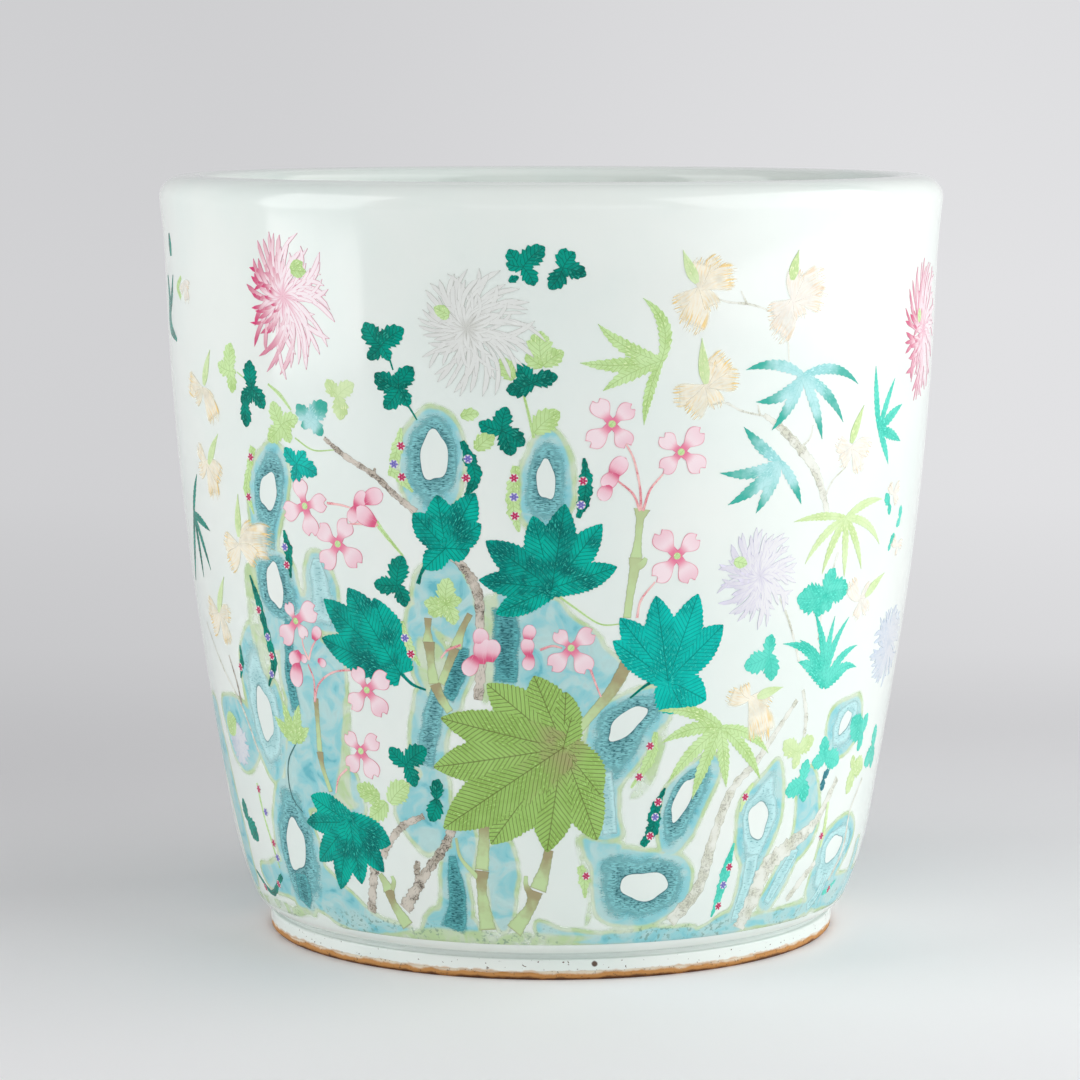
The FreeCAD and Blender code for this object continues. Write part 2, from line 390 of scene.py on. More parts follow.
GLAZE_WHITE = (235, 241, 236)
GLAZE_COOL = (230, 239, 234)
GLAZE_POOL_AND_SHADE = (212, 224, 222)
RUST = (204, 152, 98)
IRON = (84, 58, 40)
IRON_TURN, IRON_HEIGHT = 0.146, 8.0
IRON_SPOT = (FOOT * MM * math.sin(IRON_TURN), -FOOT * MM * math.cos(IRON_TURN), IRON_HEIGHT * MM)


def glaze_material():
    """White glaze: a faint cool cloud, a soft darker tint in the groove over the foot that is partly pooled glaze
    and partly painted shade of the recess, an irregular rusty line where it was wiped thin, and iron specks on the
    foot band, one of them larger."""
    material, tree = fresh("white_glaze")
    where = on_pot(tree)
    height = split(where)[2] / MM
    cloud = speckle(tree, 14, 3)
    colour = tinted(eased(cloud, 0.35, 0.65), GLAZE_WHITE, GLAZE_COOL)
    # Painted shade: the groove over the foot is tinted darker, partly for pooled glaze and partly for the shade in
    # the recess.
    groove_pool_and_shade = eased(height, 9.8, 11.0) * eased(height, 15.5, 12.5)
    colour = tinted(groove_pool_and_shade * 0.2, colour, GLAZE_POOL_AND_SHADE)
    grain = speckle(tree, 150, 4)
    wiped = eased(height + (grain - 0.5) * 3.4, BARE_LINE + 0.9, BARE_LINE - 0.3)
    colour = tinted(wiped * 0.7, colour, RUST)
    specks = eased(speckle(tree, 620, 1), 0.7, 0.74) * eased(height, 11.0, 9.0)
    away = amount(tree, "VectorMath", {0: where, 1: IRON_SPOT}, "Value", operation="DISTANCE")
    large_speck = eased(away + grain * 0.0012, 0.0024, 0.0017)
    colour = tinted(larger(specks, large_speck) * 0.97, colour, IRON)
    bumps = relief(speckle(tree, 120, 2), 0.0002, 0.12)
    return shade(material, Base_Color=colour, Roughness=eased(cloud, 0.3, 0.7, 0.08, 0.14), Normal=bumps)


def bare_clay_material():
    """Bare fired clay: buff with grit underneath. Its outer edge carries an uneven line, dark brown at the very
    bottom, then golden, then whitish under the glaze."""
    material, tree = fresh("bare_clay")
    across, deep, rise = split(on_pot(tree))
    flat = amount(tree, "CombineXYZ", {0: across, 1: deep})
    radius = amount(tree, "VectorMath", {0: flat}, "Value", operation="LENGTH")
    colour = tinted(eased(speckle(tree, 60, 4), 0.35, 0.65), (206, 180, 150), (188, 156, 126))
    outer = eased(radius, FOOT_CLAY * MM - 0.004, FOOT_CLAY * MM - 0.001)
    level = rise / MM + (speckle(tree, 110, 4) - 0.5) * 5.0
    edge = tinted(eased(level, 0.2, 1.8), (104, 64, 34), (194, 138, 76))
    edge = tinted(eased(level, 2.8, 4.2), edge, (230, 218, 196))
    colour = tinted(outer, colour, edge)
    grit = speckle(tree, 700, 2)
    colour = tinted(eased(grit, 0.62, 0.68) * 0.6, colour, IRON)
    return shade(material, Base_Color=colour, Roughness=0.75, Normal=relief(grit, 0.0003, 0.5))


def body_material():
    """Fired porcelain body: matt, a little grey, with a fine grain and faint turning rings."""
    material, tree = fresh("porcelain_body")
    grain = speckle(tree, 300, 3)
    colour = tinted(eased(grain, 0.35, 0.65), (224, 219, 210), (214, 208, 198))
    rings = maths("SINE", split(on_pot(tree))[2] * 900.0)
    colour = tinted(eased(rings, -1.0, 1.0, 0.0, 0.15), colour, (200, 194, 184))
    return shade(material, Base_Color=colour, Roughness=0.6, Normal=relief(grain, 0.0002, 0.3))


def leaf_material(
    name, face, dark, vein, spacing, slant, width, rib=0.45, strength=0.8, tip=None, flush=None
):
    """Leaf enamel: brushed from dark to face with fine lighter streaks and painted veins. Tip and flush are
    colours of its ends and of its hub, where it has them."""
    material, tree = fresh(name)
    cloud = speckle(tree, 90, 3)
    tone = cloud * 1.8 + attribute(tree, "tint") * 0.4
    colour = tinted(eased(tone, 0.8, 1.45), face, dark)
    lighter = (*(min(1.0, value * 1.35 + 0.05) for value in linear(*face)[:3]), 1.0)
    worn = brushed(tree, 0.55, 2.2, 0.46, layer=3.0) * eased(cloud, 0.42, 0.68, 0.05, 0.7)
    colour = tinted(worn, colour, lighter)
    if tip or flush:
        along = split(uv(tree, "motif"))[1] + cloud * 0.9
    if tip:
        colour = tinted(eased(along, 0.75, 1.3, 0.0, 0.9), colour, tip)
    if flush:
        colour = tinted(eased(along, 0.85, 0.3, 0.0, 0.6), colour, flush)
    pattern = {"spacing": spacing, "slant": slant, "width": width, "rib": rib}
    veins = use(tree, VEINS, measure=uv(tree, "measure"), **pattern)["mask"]
    colour = tinted(veins * strength, colour, vein)
    bumps = relief(veins, 0.0001, 0.3)
    return shade(material, Base_Color=colour, Roughness=0.16, Specular_IOR_Level=0.12, Normal=bumps)


def feather_material(name, face, line, strength):
    """Feathery petals: a thin soft wash, combed by fine lines that end ragged."""
    material, tree = fresh(name)
    across, along, _ = split(uv(tree, "motif"))
    combed = brushed(tree, 0.6, 9.0, 0.5)
    colour = tinted(combed * eased(along, 0.2, 0.8, 0.15, 0.9), face, line)
    ends = eased(along + (1.0 - combed) * 0.16, 1.0, 0.82)
    edges = ends * eased(abs(across * 2.0 - 1.0), 1.0, 0.72)
    solid = edges * eased(speckle(tree, 90, 3), 0.25, 0.6, strength * 0.6, strength)
    return shade(material, Base_Color=colour, Roughness=0.17, Alpha=solid, Specular_IOR_Level=0.3)


def petal_material(name, heart, pale, deep, line, width=0.28, tip=0.1, streak=0.3, body=1.0):
    """Petal enamel: heart colour at the neck, a pale body as thick as body says, deeper by tint towards the tip,
    and a drawn outline."""
    material, tree = fresh(name)
    edge = use(tree, OUTLINE, motif=uv(tree, "motif"), width=width, tip=tip)
    colour = tinted(eased(edge["along"], 0.5, 0.1), pale, heart)
    toward_tip = eased(edge["along"], 0.3, 0.95) * attribute(tree, "tint")
    colour = tinted(toward_tip, colour, deep)
    drawn = brushed(tree, 0.5, 9.0, 0.4) * streak
    colour = tinted(drawn, colour, deep)
    ink = edge["mask"] * 0.8
    colour = tinted(ink, colour, line)
    solid = larger(ink, drawn, toward_tip, body)
    return shade(material, Base_Color=colour, Roughness=0.18, Alpha=solid, Specular_IOR_Level=0.4)


def rock_material(name, wash, hatch, density=0.5):
    """Garden rock: level dark brush strokes, close at the hole's inked edge and thinning outwards, over a wash that
    is patchy, ends ragged and fades into the ground wash under it. The motif map's second value runs outwards."""
    material, tree = fresh(name)
    outward = split(uv(tree, "motif"))[1]
    cloud = speckle(tree, 75, 3)
    out = outward + (cloud - 0.5) * 0.9
    strokes = larger(brushed(tree, 0.5, 2.2, density), brushed(tree, 1.0, 5.0, density, layer=7.0) * 0.6)
    half_tone = tuple(0.65 * thin + 0.35 * dark for thin, dark in zip(linear(*wash), linear(*hatch)))
    colour = tinted(eased(out, 0.0, 0.5), half_tone, wash)
    colour = tinted(strokes * eased(out, 0.95, 0.15, 0.1, 0.95), colour, hatch)
    rim = eased(outward, 0.06, 0.0) * eased(cloud, 0.35, 0.6, 0.2, 0.8)
    colour = tinted(rim, colour, (40, 84, 92))
    core, ragged = eased(out, 0.9, 0.45), strokes * eased(out, 1.0, 0.6)
    solid = larger(core, ragged) * eased(outward, 1.0, 0.8)
    return shade(material, Base_Color=colour, Roughness=0.17, Alpha=solid, Specular_IOR_Level=0.3)


def ground_wash_material():
    """The thin washes that join the rocks: patchy turquoise, pooled darker here and there, with a yellow-green band
    a few millimetres wide outside its edge, and specks on the ground line. Depth is the distance in from the
    turquoise's edge, minus outside, moss the same for the green parts and hole for the rocks' holes, in mm."""
    material, tree = fresh("ground_wash")
    depth, moss, hole = (attribute(tree, name) for name in ("depth", "moss", "hole"))
    height = split(on_pot(tree))[2]
    cloud = speckle(tree, 48, 4)
    pooled = speckle(tree, 85, 4, spin=0.8)
    shaken = (cloud - 0.5) * 7.0
    deep = depth + shaken
    turquoise = tinted(eased(pooled, 0.38, 0.6), (196, 235, 234), (146, 212, 218))
    darker = eased(pooled, 0.58, 0.7) * eased(deep, 0.0, 3.0)
    turquoise = tinted(darker * 0.75, turquoise, (88, 182, 196))
    green = tinted(eased(pooled, 0.4, 0.65), (226, 242, 212), (200, 228, 170))
    mossy = moss + shaken * 0.6
    share = eased(deep, -1.0, 0.6) * eased(mossy, 2.5, 0.0)
    colour = tinted(share, green, turquoise)
    specks = eased(speckle(tree, 520, 2), 0.56, 0.62) * eased(height, 0.031, 0.026)
    specks = specks * eased(cloud, 0.42, 0.55)
    colour = tinted(specks * 0.6, colour, (104, 146, 132))
    moss_share = eased(mossy, -0.5, 2.5) * eased(pooled, 0.36, 0.56, 0.45, 1.0)
    thick = eased(pooled, 0.3, 0.62, 0.7, 0.95) * eased(share, 0.0, 1.0, 0.8, 1.0)
    solid = larger(eased(deep, -3.6, -1.2), moss_share) * thick
    solid = solid * eased(larger(depth, moss), -5.4, -4.2) * eased(hole, 0.25, -0.25)
    return shade(material, Base_Color=colour, Roughness=0.15, Alpha=solid, Specular_IOR_Level=0.4)


def bamboo_material(name, brown):
    """Bamboo enamel: each joint brown by so much under its upper node and green towards the lower one, with a line
    at each node."""
    material, tree = fresh(name)
    edge = use(tree, OUTLINE, motif=uv(tree, "motif"), width=0.45, tip=0.02)
    along = edge["along"]
    share = eased(along + (speckle(tree, 150, 3) - 0.5) * 0.9, 0.85, 0.15) * brown
    colour = tinted(share, (196, 220, 164), (166, 156, 118))
    colour = tinted(edge["mask"] * 0.35, colour, (158, 170, 118))
    node_line = larger(eased(along, 0.035, 0.0), eased(along, 0.97, 1.0))
    colour = tinted(node_line * (0.5 * brown), colour, (140, 116, 92))
    solid = eased(edge["across"], 1.0, 0.8)
    return shade(material, Base_Color=colour, Roughness=0.18, Alpha=solid, Specular_IOR_Level=0.3)


def bark_material(name, face, dark, ink, density=0.42, thick=1.0, cracked=0.85):
    """Branch enamel: patchy strokes along the stem, scribbled dark cracks, and a soft dark outline."""
    material, tree = fresh(name)
    edge = use(tree, OUTLINE, motif=uv(tree, "motif"), width=0.35, tip=0.01)
    cloud = speckle(tree, 120, 3)
    scribble = abs(speckle(tree, 330, 2, spin=1.5) - 0.5)
    cracks = eased(scribble, 0.05, 0.01) * eased(cloud, 0.42, 0.54)
    colour = tinted(eased(cloud, 0.35, 0.7), face, dark)
    colour = tinted(edge["mask"] * 0.55, colour, dark)
    colour = tinted(larger(brushed(tree, 0.6, 3.0, density) * 0.45, cracks * cracked), colour, ink)
    solid = eased(edge["across"], 1.0, 0.85) * thick
    return shade(material, Base_Color=colour, Roughness=0.2, Alpha=solid, Specular_IOR_Level=0.3)


# Each paint's row is what its material function takes.
LEAF_PAINTS = {
    "teal": ("teal_leaf", (0, 184, 164), (0, 112, 106), (0, 96, 86), 2.4, 0.9, 0.16),
    # The teal leaf again, painted brighter as painted light, for leaves where the lamp falls more strongly.
    "teal_light": ("teal_light_leaf", (6, 198, 184), (0, 160, 150), (0, 112, 104), 2.4, 0.9, 0.14),
    "teal_small": ("teal_ivy", (0, 156, 136), (0, 108, 94), (0, 74, 66), 2.0, 0.8, 0.16, 0.3),
    "mint": ("mint_leaf", (104, 222, 202), (64, 200, 178), (0, 150, 130), 2.2, 0.8, 0.12, 0.25, 0.4),
    # The turquoise leaf's pale face and shade are partly its own colour and partly painted light, paler to stand
    # for the strong lamp's wash; its darker teal tips are its own.
    "turquoise": (
        "turquoise_leaf", (186, 230, 230), (152, 214, 214), (96, 184, 176), 2.4, 0.9, 0.1, 0.2, 0.3,
        (30, 170, 150),
    ),
    "lime": ("lime_leaf", (206, 235, 174), (182, 216, 140), (132, 172, 84), 2.4, 0.9, 0.12, 0.3, 0.5),
    "pale_lime": ("pale_lime_leaf", (216, 236, 186), (196, 222, 156), (166, 198, 124), 2.4, 0.9, 0.09, 0.3, 0.3),
    "grape": (
        "grape_leaf", (162, 202, 112), (146, 184, 94), (88, 76, 48), 2.7, 0.95, 0.15, 0.4, 0.8,
        None, (168, 138, 116),
    ),
    "ink_leaf": ("ink_leaf", (80, 160, 168), (48, 122, 134), (36, 96, 110), 1.6, 0.8, 0.2, 0.3),
}
PETAL_PAINTS = {
    "pink_mum": (
        "pink_mum", (246, 200, 214), (255, 242, 246), (214, 60, 116), (222, 122, 158), 0.36, 0.04, 0.15, 0.9,
    ),
    "white_mum": (
        "white_mum", (226, 228, 222), (243, 246, 242), (228, 229, 226), (188, 188, 181), 0.32, 0.04, 0.2, 0.85,
    ),
    "lilac_mum": (
        "lilac_mum", (240, 238, 248), (253, 253, 255), (230, 226, 243), (206, 200, 232), 0.32, 0.04, 0.15, 0.75,
    ),
    "blue_mum": (
        "blue_mum", (228, 236, 246), (246, 249, 253), (214, 228, 244), (196, 214, 238), 0.25, 0.05, 0.15, 0.7,
    ),
    "begonia": (
        "begonia", (238, 130, 162), (252, 232, 237), (240, 184, 200), (226, 112, 140), 0.13, 0.05, 0.4, 0.95,
    ),
    "begonia_bud": (
        "begonia_bud", (226, 92, 134), (248, 196, 210), (253, 234, 240), (222, 100, 132), 0.14, 0.06, 0.35, 0.95,
    ),
    "star_red": ("star_red", (190, 30, 90), (206, 60, 110), (170, 20, 76), (150, 16, 66)),
    "star_violet": ("star_violet", (104, 96, 186), (140, 134, 208), (92, 84, 176), (80, 70, 160)),
    "white": ("white_spot", (246, 244, 242), (246, 244, 242), (226, 230, 226), (210, 218, 214)),
}
ROCK_PAINTS = {
    "rock": ("rock", (136, 204, 208), (36, 98, 106)),
    "rock_pale": ("rock_pale", (192, 232, 233), (104, 166, 170), 0.42),
    "rock_dark": ("rock_dark", (98, 184, 188), (26, 92, 100), 0.52),
}
BARK_PAINTS = {
    "bark": ("brown_branch", (214, 206, 194), (168, 158, 142), (66, 56, 50)),
    "pale_bark": ("pale_branch", (245, 247, 238), (222, 224, 206), (116, 110, 92), 0.24, 0.85, 0.5),
    "pink_stem": ("pink_stem", (246, 204, 200), (234, 156, 162), (214, 112, 126), 0.3),
    "ink": ("ink_line", (70, 120, 120), (48, 94, 96), (36, 70, 72)),
}
FEATHER_PAINTS = {
    "feather": ("yellow_feather", (255, 250, 232), (250, 210, 116), 0.9),
    "peach": ("peach_feather", (255, 251, 242), (252, 222, 184), 0.8),
}
BAMBOO_PAINTS = {"bamboo": ("bamboo_stem", 1.0), "stalk": ("green_stalk", 0.3)}
PAINTS = {"ground_wash": ground_wash_material()}
for make, rows in (
    (leaf_material, LEAF_PAINTS),
    (petal_material, PETAL_PAINTS),
    (rock_material, ROCK_PAINTS),
    (bark_material, BARK_PAINTS),
    (feather_material, FEATHER_PAINTS),
    (bamboo_material, BAMBOO_PAINTS),
):
    PAINTS.update({name: make(*row) for name, row in rows.items()})

# ---------------------------------------------------------------- meshes


def quads(index):
    """The four-cornered faces of a grid of point numbers."""
    return np.stack([index[:-1, :-1], index[:-1, 1:], index[1:, 1:], index[1:, :-1]], -1).reshape(-1, 4)


def closed(index):
    """A grid of point numbers that joins up round its second direction."""
    return np.concatenate([index, index[:, :1]], 1)


def smooth_mesh(name, points, faces, *materials):
    """A mesh of points in metres that shades smoothly."""
    mesh = bpy.data.meshes.new(name)
    mesh.from_pydata(points.tolist(), [], faces)
    for material in materials:
        mesh.materials.append(material)
    mesh.polygons.foreach_set("use_smooth", np.ones(len(mesh.polygons), bool))
    mesh.update()
    return mesh


def map_points(mesh, label, places):
    """A UV map from a place on the map for each point."""
    corner = np.zeros(len(mesh.loops), np.int32)
    mesh.loops.foreach_get("vertex_index", corner)
    mesh.uv_layers.new(name=label).data.foreach_set("uv", places[corner].astype(np.float32).ravel())


def note_points(mesh, label, values):
    """A named value for each point."""
    layer = mesh.attributes.new(label, "FLOAT", "POINT")
    layer.data.foreach_set("value", values.astype(np.float32))


def in_scene(name, data):
    made = bpy.data.objects.new(name, data)
    bpy.context.scene.collection.objects.link(made)
    return made


def finished(name, mesh, *nodes, slot="enamel"):
    """A new piece rides with the pot and stands for the named nodes, which are hidden. The slot is not used."""
    piece = in_scene(name, mesh)
    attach(piece, "root")
    if nodes:
        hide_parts(*nodes)


def turned_surface(name, points, material, shift):
    """A section carried round the axis: each section point at each of the even turns, joined by faces that look
    away from the clay, with the axis closed by a fan. Shift moves the points in section, by turn."""
    ring = points[:-1]
    turn = np.arange(TURNS) * 2 * math.pi / TURNS
    grid = np.broadcast_to(ring[:, None, :], (len(ring), TURNS, 2)).copy()
    grid = shift(np.broadcast_to(turn, grid.shape[:2]), grid)
    places = round_axis(grid[..., 0], turn, grid[..., 1]).reshape(-1, 3)
    pole = len(places)
    places = np.vstack([places, [[0, 0, points[-1, 1] * MM]]])
    index = closed(np.arange(pole).reshape(-1, TURNS))
    fan = [[int(a), int(b), pole] for a, b in zip(index[-1, :-1], index[-1, 1:])]
    return smooth_mesh(name, places, quads(index).tolist() + fan, material)


# The far side carries the same garden, turned half round, with some of its paints changed over.
BEHIND = [False]
HALF_ROUND = np.array([math.pi * ROUND, 0.0])
EXCHANGED = (("pink_mum", "lilac_mum"), ("star_red", "star_violet"))
BACK_PAINTS = {one: other for pair in EXCHANGED for one, other in (pair, pair[::-1])}
SHARP = math.radians(40)


class Enamel:
    """One fired motif: grids of points on the sheet, each closed by an underside and a rim, gathered into a
    mesh."""

    def __init__(self, name):
        self.name, self.paints, self.count, self.parts = name, [], 0, []

    def add(self, paint, shape, lift, dome=0.0, tint=0.5, ring=False):
        """shape is what blades, patch or ribbon gives. Its grid stands lift above the glaze, with a crown of dome
        more along its middle. A ring's grid joins up round its second direction, and the others have four edges."""
        sheet, across, along, measure = shape
        if BEHIND[0]:
            paint = BACK_PAINTS.get(paint, paint)
            sheet = sheet + HALF_ROUND
        many, rows, columns, _ = sheet.shape
        crown = dome * (1 - across**2) * np.sqrt(np.clip(4 * along * (1 - along), 0, 1))
        top = on_wall(sheet, np.asarray(lift, float).reshape(-1, 1, 1) + crown)
        under = on_wall(sheet, np.full(across.shape, -DEPTH))
        size = rows * columns
        index = np.arange(size).reshape(rows, columns)
        if ring:
            index = closed(index)
            edges = [index[0], index[-1][::-1]]
        else:
            edges = [np.concatenate([index[0, :-1], index[:-1, -1], index[-1, :0:-1], index[::-1, 0]])]
        quad = quads(index)
        walls = [np.stack([edge[1:], edge[:-1], edge[:-1] + size, edge[1:] + size], -1) for edge in edges]
        faces = np.concatenate([quad, quad[:, ::-1] + size, *walls])
        down = np.diff(sheet, axis=1)[:, :, :-1]
        over = np.diff(sheet, axis=2)[:, :-1]
        outward = (over[..., 0] * down[..., 1] - over[..., 1] * down[..., 0]).reshape(many, -1).sum(1) > 0
        faces = np.where(outward[:, None, None], faces[None], faces[None, :, ::-1])
        faces = faces + self.count + np.arange(many)[:, None, None] * 2 * size
        motif = np.stack([(across + 1) / 2, along], -1)
        maps = (np.repeat(each.reshape(many, 1, size, 2), 2, 1).reshape(-1, 2) for each in (motif, measure))
        tone = np.broadcast_to(np.asarray(tint, float).reshape(-1, 1), (many, 2 * size)).reshape(-1)
        if paint not in self.paints:
            self.paints.append(paint)
        slots = np.full(faces.shape[0] * faces.shape[1], self.paints.index(paint))
        points = np.stack([top, under], 1).reshape(-1, 3)
        self.parts.append((points, faces.reshape(-1, 4), *maps, tone, slots))
        self.count += many * 2 * size
        return self

    def fire(self):
        """Makes the object."""
        name = self.name + ("_behind" if BEHIND[0] else "")
        points, faces, motif, measure, tone, slots = (np.concatenate(part) for part in zip(*self.parts))
        mesh = smooth_mesh(name, points, faces.tolist(), *(PAINTS[paint] for paint in self.paints))
        map_points(mesh, "motif", motif)
        map_points(mesh, "measure", measure)
        note_points(mesh, "tint", tone)
        mesh.polygons.foreach_set("material_index", slots.astype(np.int32))
        mesh.set_sharp_from_angle(angle=SHARP)
        finished(name, mesh)


def swell(along, belly, base, point, neck=1.0, blunt=0.05):
    """Half-width along a blade: a quarter sine to the power neck, from base up to 1 at the belly, then a cosine to
    the power point."""
    rising = base + (1 - base) * np.sin(np.clip(along / belly, 0, 1) * math.pi / 2) ** neck
    falling = np.cos(np.clip((along - belly) / (1 - belly), 0, 1) * math.pi / 2) ** point
    return np.maximum(np.where(along < belly, rising, falling), blunt)


def blades(
    bases, tips, widths, bend=0.0, belly=0.6, base=0.3, point=0.8, rows=20, columns=6, tooth=0.0, teeth=2.0,
    neck=1.0, notch=0.0,
):
    """Blades on the sheet. The middle line runs straight from base to tip plus a bow of bend times the length, as
    4t(1-t). Across it the edge lies at width times swell(t), with a sawtooth of the given size and spacing. A
    notched end is blunt, and its middle is drawn back by notch times the length."""
    bases, tips = np.atleast_2d(bases).astype(float), np.atleast_2d(tips).astype(float)
    many = len(tips)
    bases = np.broadcast_to(bases, tips.shape)
    widths, bend = (np.broadcast_to(np.asarray(x, float), many) for x in (widths, bend))
    along = np.linspace(0, 1, rows + 1)
    reach = tips - bases
    length = np.hypot(reach[:, 0], reach[:, 1])
    side = (bend[:, None] * np.stack([-reach[:, 1], reach[:, 0]], -1))[:, None]
    middle = bases[:, None] + along[None, :, None] * reach[:, None]
    middle = middle + (4 * along * (1 - along))[None, :, None] * side
    way = reach[:, None] + (4 - 8 * along)[None, :, None] * side
    way = way / np.linalg.norm(way, axis=-1, keepdims=True)
    square = np.stack([-way[..., 1], way[..., 0]], -1)
    half = widths[:, None] * swell(along, belly, base, point, neck, 0.05 + 2.6 * notch)[None]
    run = along[None] * length[:, None]
    half = half * (1 - tooth * (1 - np.mod(run / teeth, 1)))
    across = np.linspace(-1, 1, columns + 1)
    sheet = middle[:, :, None] + square[:, :, None] * (half[:, :, None] * across)[..., None]
    drawn_back = notch * length[:, None, None] * along[None, :, None] ** 5 * (1 - across**2) ** 2
    sheet = sheet - way[:, :, None] * drawn_back[..., None]
    grid = sheet.shape[:3]
    measure = np.stack([half[:, :, None] * across, np.broadcast_to(run[:, :, None], grid)], -1)
    return sheet, np.broadcast_to(across, grid), np.broadcast_to(along[None, :, None], grid), measure


def smooth_line(points, count, is_closed=False):
    """A Catmull-Rom curve through the points, at count places evenly spaced in its own parameter."""
    points = np.asarray(points, float)
    if is_closed:
        knots = np.vstack([points[-1], points, points[:2]])
        spans = len(points)
    else:
        knots = np.vstack([2 * points[0] - points[1], points, 2 * points[-1] - points[-2]])
        spans = len(points) - 1
    where = np.linspace(0, spans, count, endpoint=not is_closed)
    span = np.minimum(where.astype(int), spans - 1)
    t = (where - span)[:, None]
    a, b, c, d = (knots[span + i] for i in range(4))
    return 0.5 * (2 * b + (c - a) * t + (2 * a - 5 * b + 4 * c - d) * t**2 + (3 * b - a - 3 * c + d) * t**3)


def ribbon(points, widths, rows=40, columns=4, rough=0.0):
    """A band along a smooth line on the sheet, with its half-width running through the given values, times one
    plus rough times waves of three lengths."""
    line = smooth_line(points, rows + 1)
    way = np.gradient(line, axis=0)
    way = way / np.linalg.norm(way, axis=1, keepdims=True)
    square = np.column_stack([-way[:, 1], way[:, 0]])
    along = np.linspace(0, 1, rows + 1)
    half = np.interp(along, np.linspace(0, 1, len(widths)), widths)
    reach = np.concatenate([[0], np.cumsum(np.linalg.norm(np.diff(line, axis=0), axis=1))])
    half = half * (1 + rough * (np.sin(reach * 0.9) + 0.8 * np.sin(reach * 2.3 + 1) + 0.5 * np.sin(reach * 5.1)))
    across = np.linspace(-1, 1, columns + 1)
    sheet = (line[:, None] + square[:, None] * (half[:, None] * across)[..., None])[None]
    grid = sheet.shape[:3]
    measure = np.stack([half[:, None] * across, np.broadcast_to(reach[:, None], grid[1:])], -1)[None]
    return sheet, np.broadcast_to(across, grid), np.broadcast_to(along[None, :, None], grid), measure


def polar_radius(outline, hub, angles):
    """Distance from the hub to a smooth closed outline, at each of the angles."""
    line = smooth_line(outline, 240, is_closed=True) - hub
    angle, reach = np.arctan2(line[:, 1], line[:, 0]), np.hypot(line[:, 0], line[:, 1])
    order = np.argsort(angle)
    return np.interp(angles, angle[order], reach[order], period=2 * math.pi)


def patch(outline, hub, inner=None, rows=8, around=72):
    """A closed patch about a hub: along runs from the inner outline, or from the hub, out to the outline. The
    measure is the height and the place across, so that brush strokes lie level."""
    angles = np.linspace(-math.pi, math.pi, around, endpoint=False)
    outer = polar_radius(outline, hub, angles)
    start = polar_radius(inner, hub, angles) if inner is not None else 0.04 * outer
    along = np.linspace(0, 1, rows + 1)
    reach = start + along[:, None] * (outer - start)
    way = np.stack([np.cos(angles), np.sin(angles)], -1)
    sheet = (hub + reach[..., None] * way)[None]
    along = np.broadcast_to(along[None, :, None], sheet.shape[:3])
    return sheet, np.zeros(sheet.shape[:3]), along, sheet[..., ::-1]


# ---------------------------------------------------------------- motifs

PIECES = {}


def gathered(kind, spot):
    """The piece that takes the small motifs of a kind near a place on the sheet."""
    column, row = np.floor(np.asarray(spot) / CELL).astype(int)
    name = f"{kind}_{column + 6}_{row}"
    return PIECES.setdefault(name, Enamel(name))


def chance(*key):
    """Seeded random numbers of a motif's own, from its name."""
    return np.random.default_rng([SEED, *(sum(ord(c) * (i + 1) for i, c in enumerate(str(k))) for k in key)])


def lengths(reaches):
    return np.linalg.norm(reaches, axis=1)


def stacked(tips, step):
    """Heights above the first of several petals, so that each lies a hair above the one before."""
    return np.arange(len(tips)) * step


MUM_PETALS = 40, 34, 26, 16  # in each ring, the outer ring first


def mum(name, paint, centre, reaches, flush, leaf):
    """A many-petalled chrysanthemum: rings of narrow bowed petals, the outer ring first. The reach at an angle
    is an ellipse's quarter between the right, up, left and down reaches, and flush deepens the left petals."""
    luck = chance(name)
    flower = Enamel(name)
    right, up, left, down = reaches
    for ring, count in enumerate(MUM_PETALS):
        angle = (np.arange(count) + luck.uniform(-0.3, 0.3, count)) * 2 * math.pi / count + ring
        cosine, sine = np.cos(angle), np.sin(angle)
        wide, tall = np.where(cosine > 0, right, left), np.where(sine > 0, up, down)
        reach = (1 - 0.21 * ring) * luck.uniform(0.82, 1.06, count)
        tips = centre + np.stack([wide * cosine * reach, tall * sine * reach], -1)
        bases = centre + 0.02 * (tips - centre)
        bend = 0.16 * luck.uniform(0.2, 1.3, count) * np.where(luck.random(count) < 0.8, 1, -1)
        tint = np.clip(flush * (0.25 - 1.1 * cosine) + luck.uniform(-0.2, 0.2, count), 0, 1)
        width = 1.15 * luck.uniform(0.75, 1.2, count) * (1 - 0.08 * ring)
        shape = blades(bases, tips, width, bend, belly=0.8, base=0.22, point=0.5, rows=9, columns=4)
        flower.add(paint, shape, FLOWER + ring * 0.012 + np.arange(count) % 3 * 0.004, dome=0.015, tint=tint)
    if leaf is not None:
        add_lobes(flower, "lime", leaf[0], leaf[1:], 0.4 * lengths(leaf[1:] - leaf[0]), lift=DETAIL)
    flower.fire()


def drop(centre, size):
    """A small round drop's outline."""
    angles = np.linspace(0, 2 * math.pi, 8, endpoint=False)
    return patch(centre + size * np.stack([np.cos(angles), np.sin(angles)], -1), centre, rows=2, around=16)


def begonia(piece, name, centre, middles):
    """Four petals about a lime heart, each narrow at the neck and notched at the end, given by their middles."""
    reach = middles - centre
    shape = blades(
        centre + 0.1 * reach, centre + 1.44 * reach, 0.5 * lengths(reach), bend=0.04, belly=0.7, base=0.14,
        point=0.5, columns=10, neck=2.0, notch=0.13,
    )
    tint = chance(name).uniform(0.0, 0.6, len(middles))
    piece.add("begonia", shape, FLOWER + stacked(middles, 0.006), dome=0.03, tint=tint)
    piece.add("lime", drop(centre, 1.7), DETAIL + 0.03, tint=0.3, ring=True)


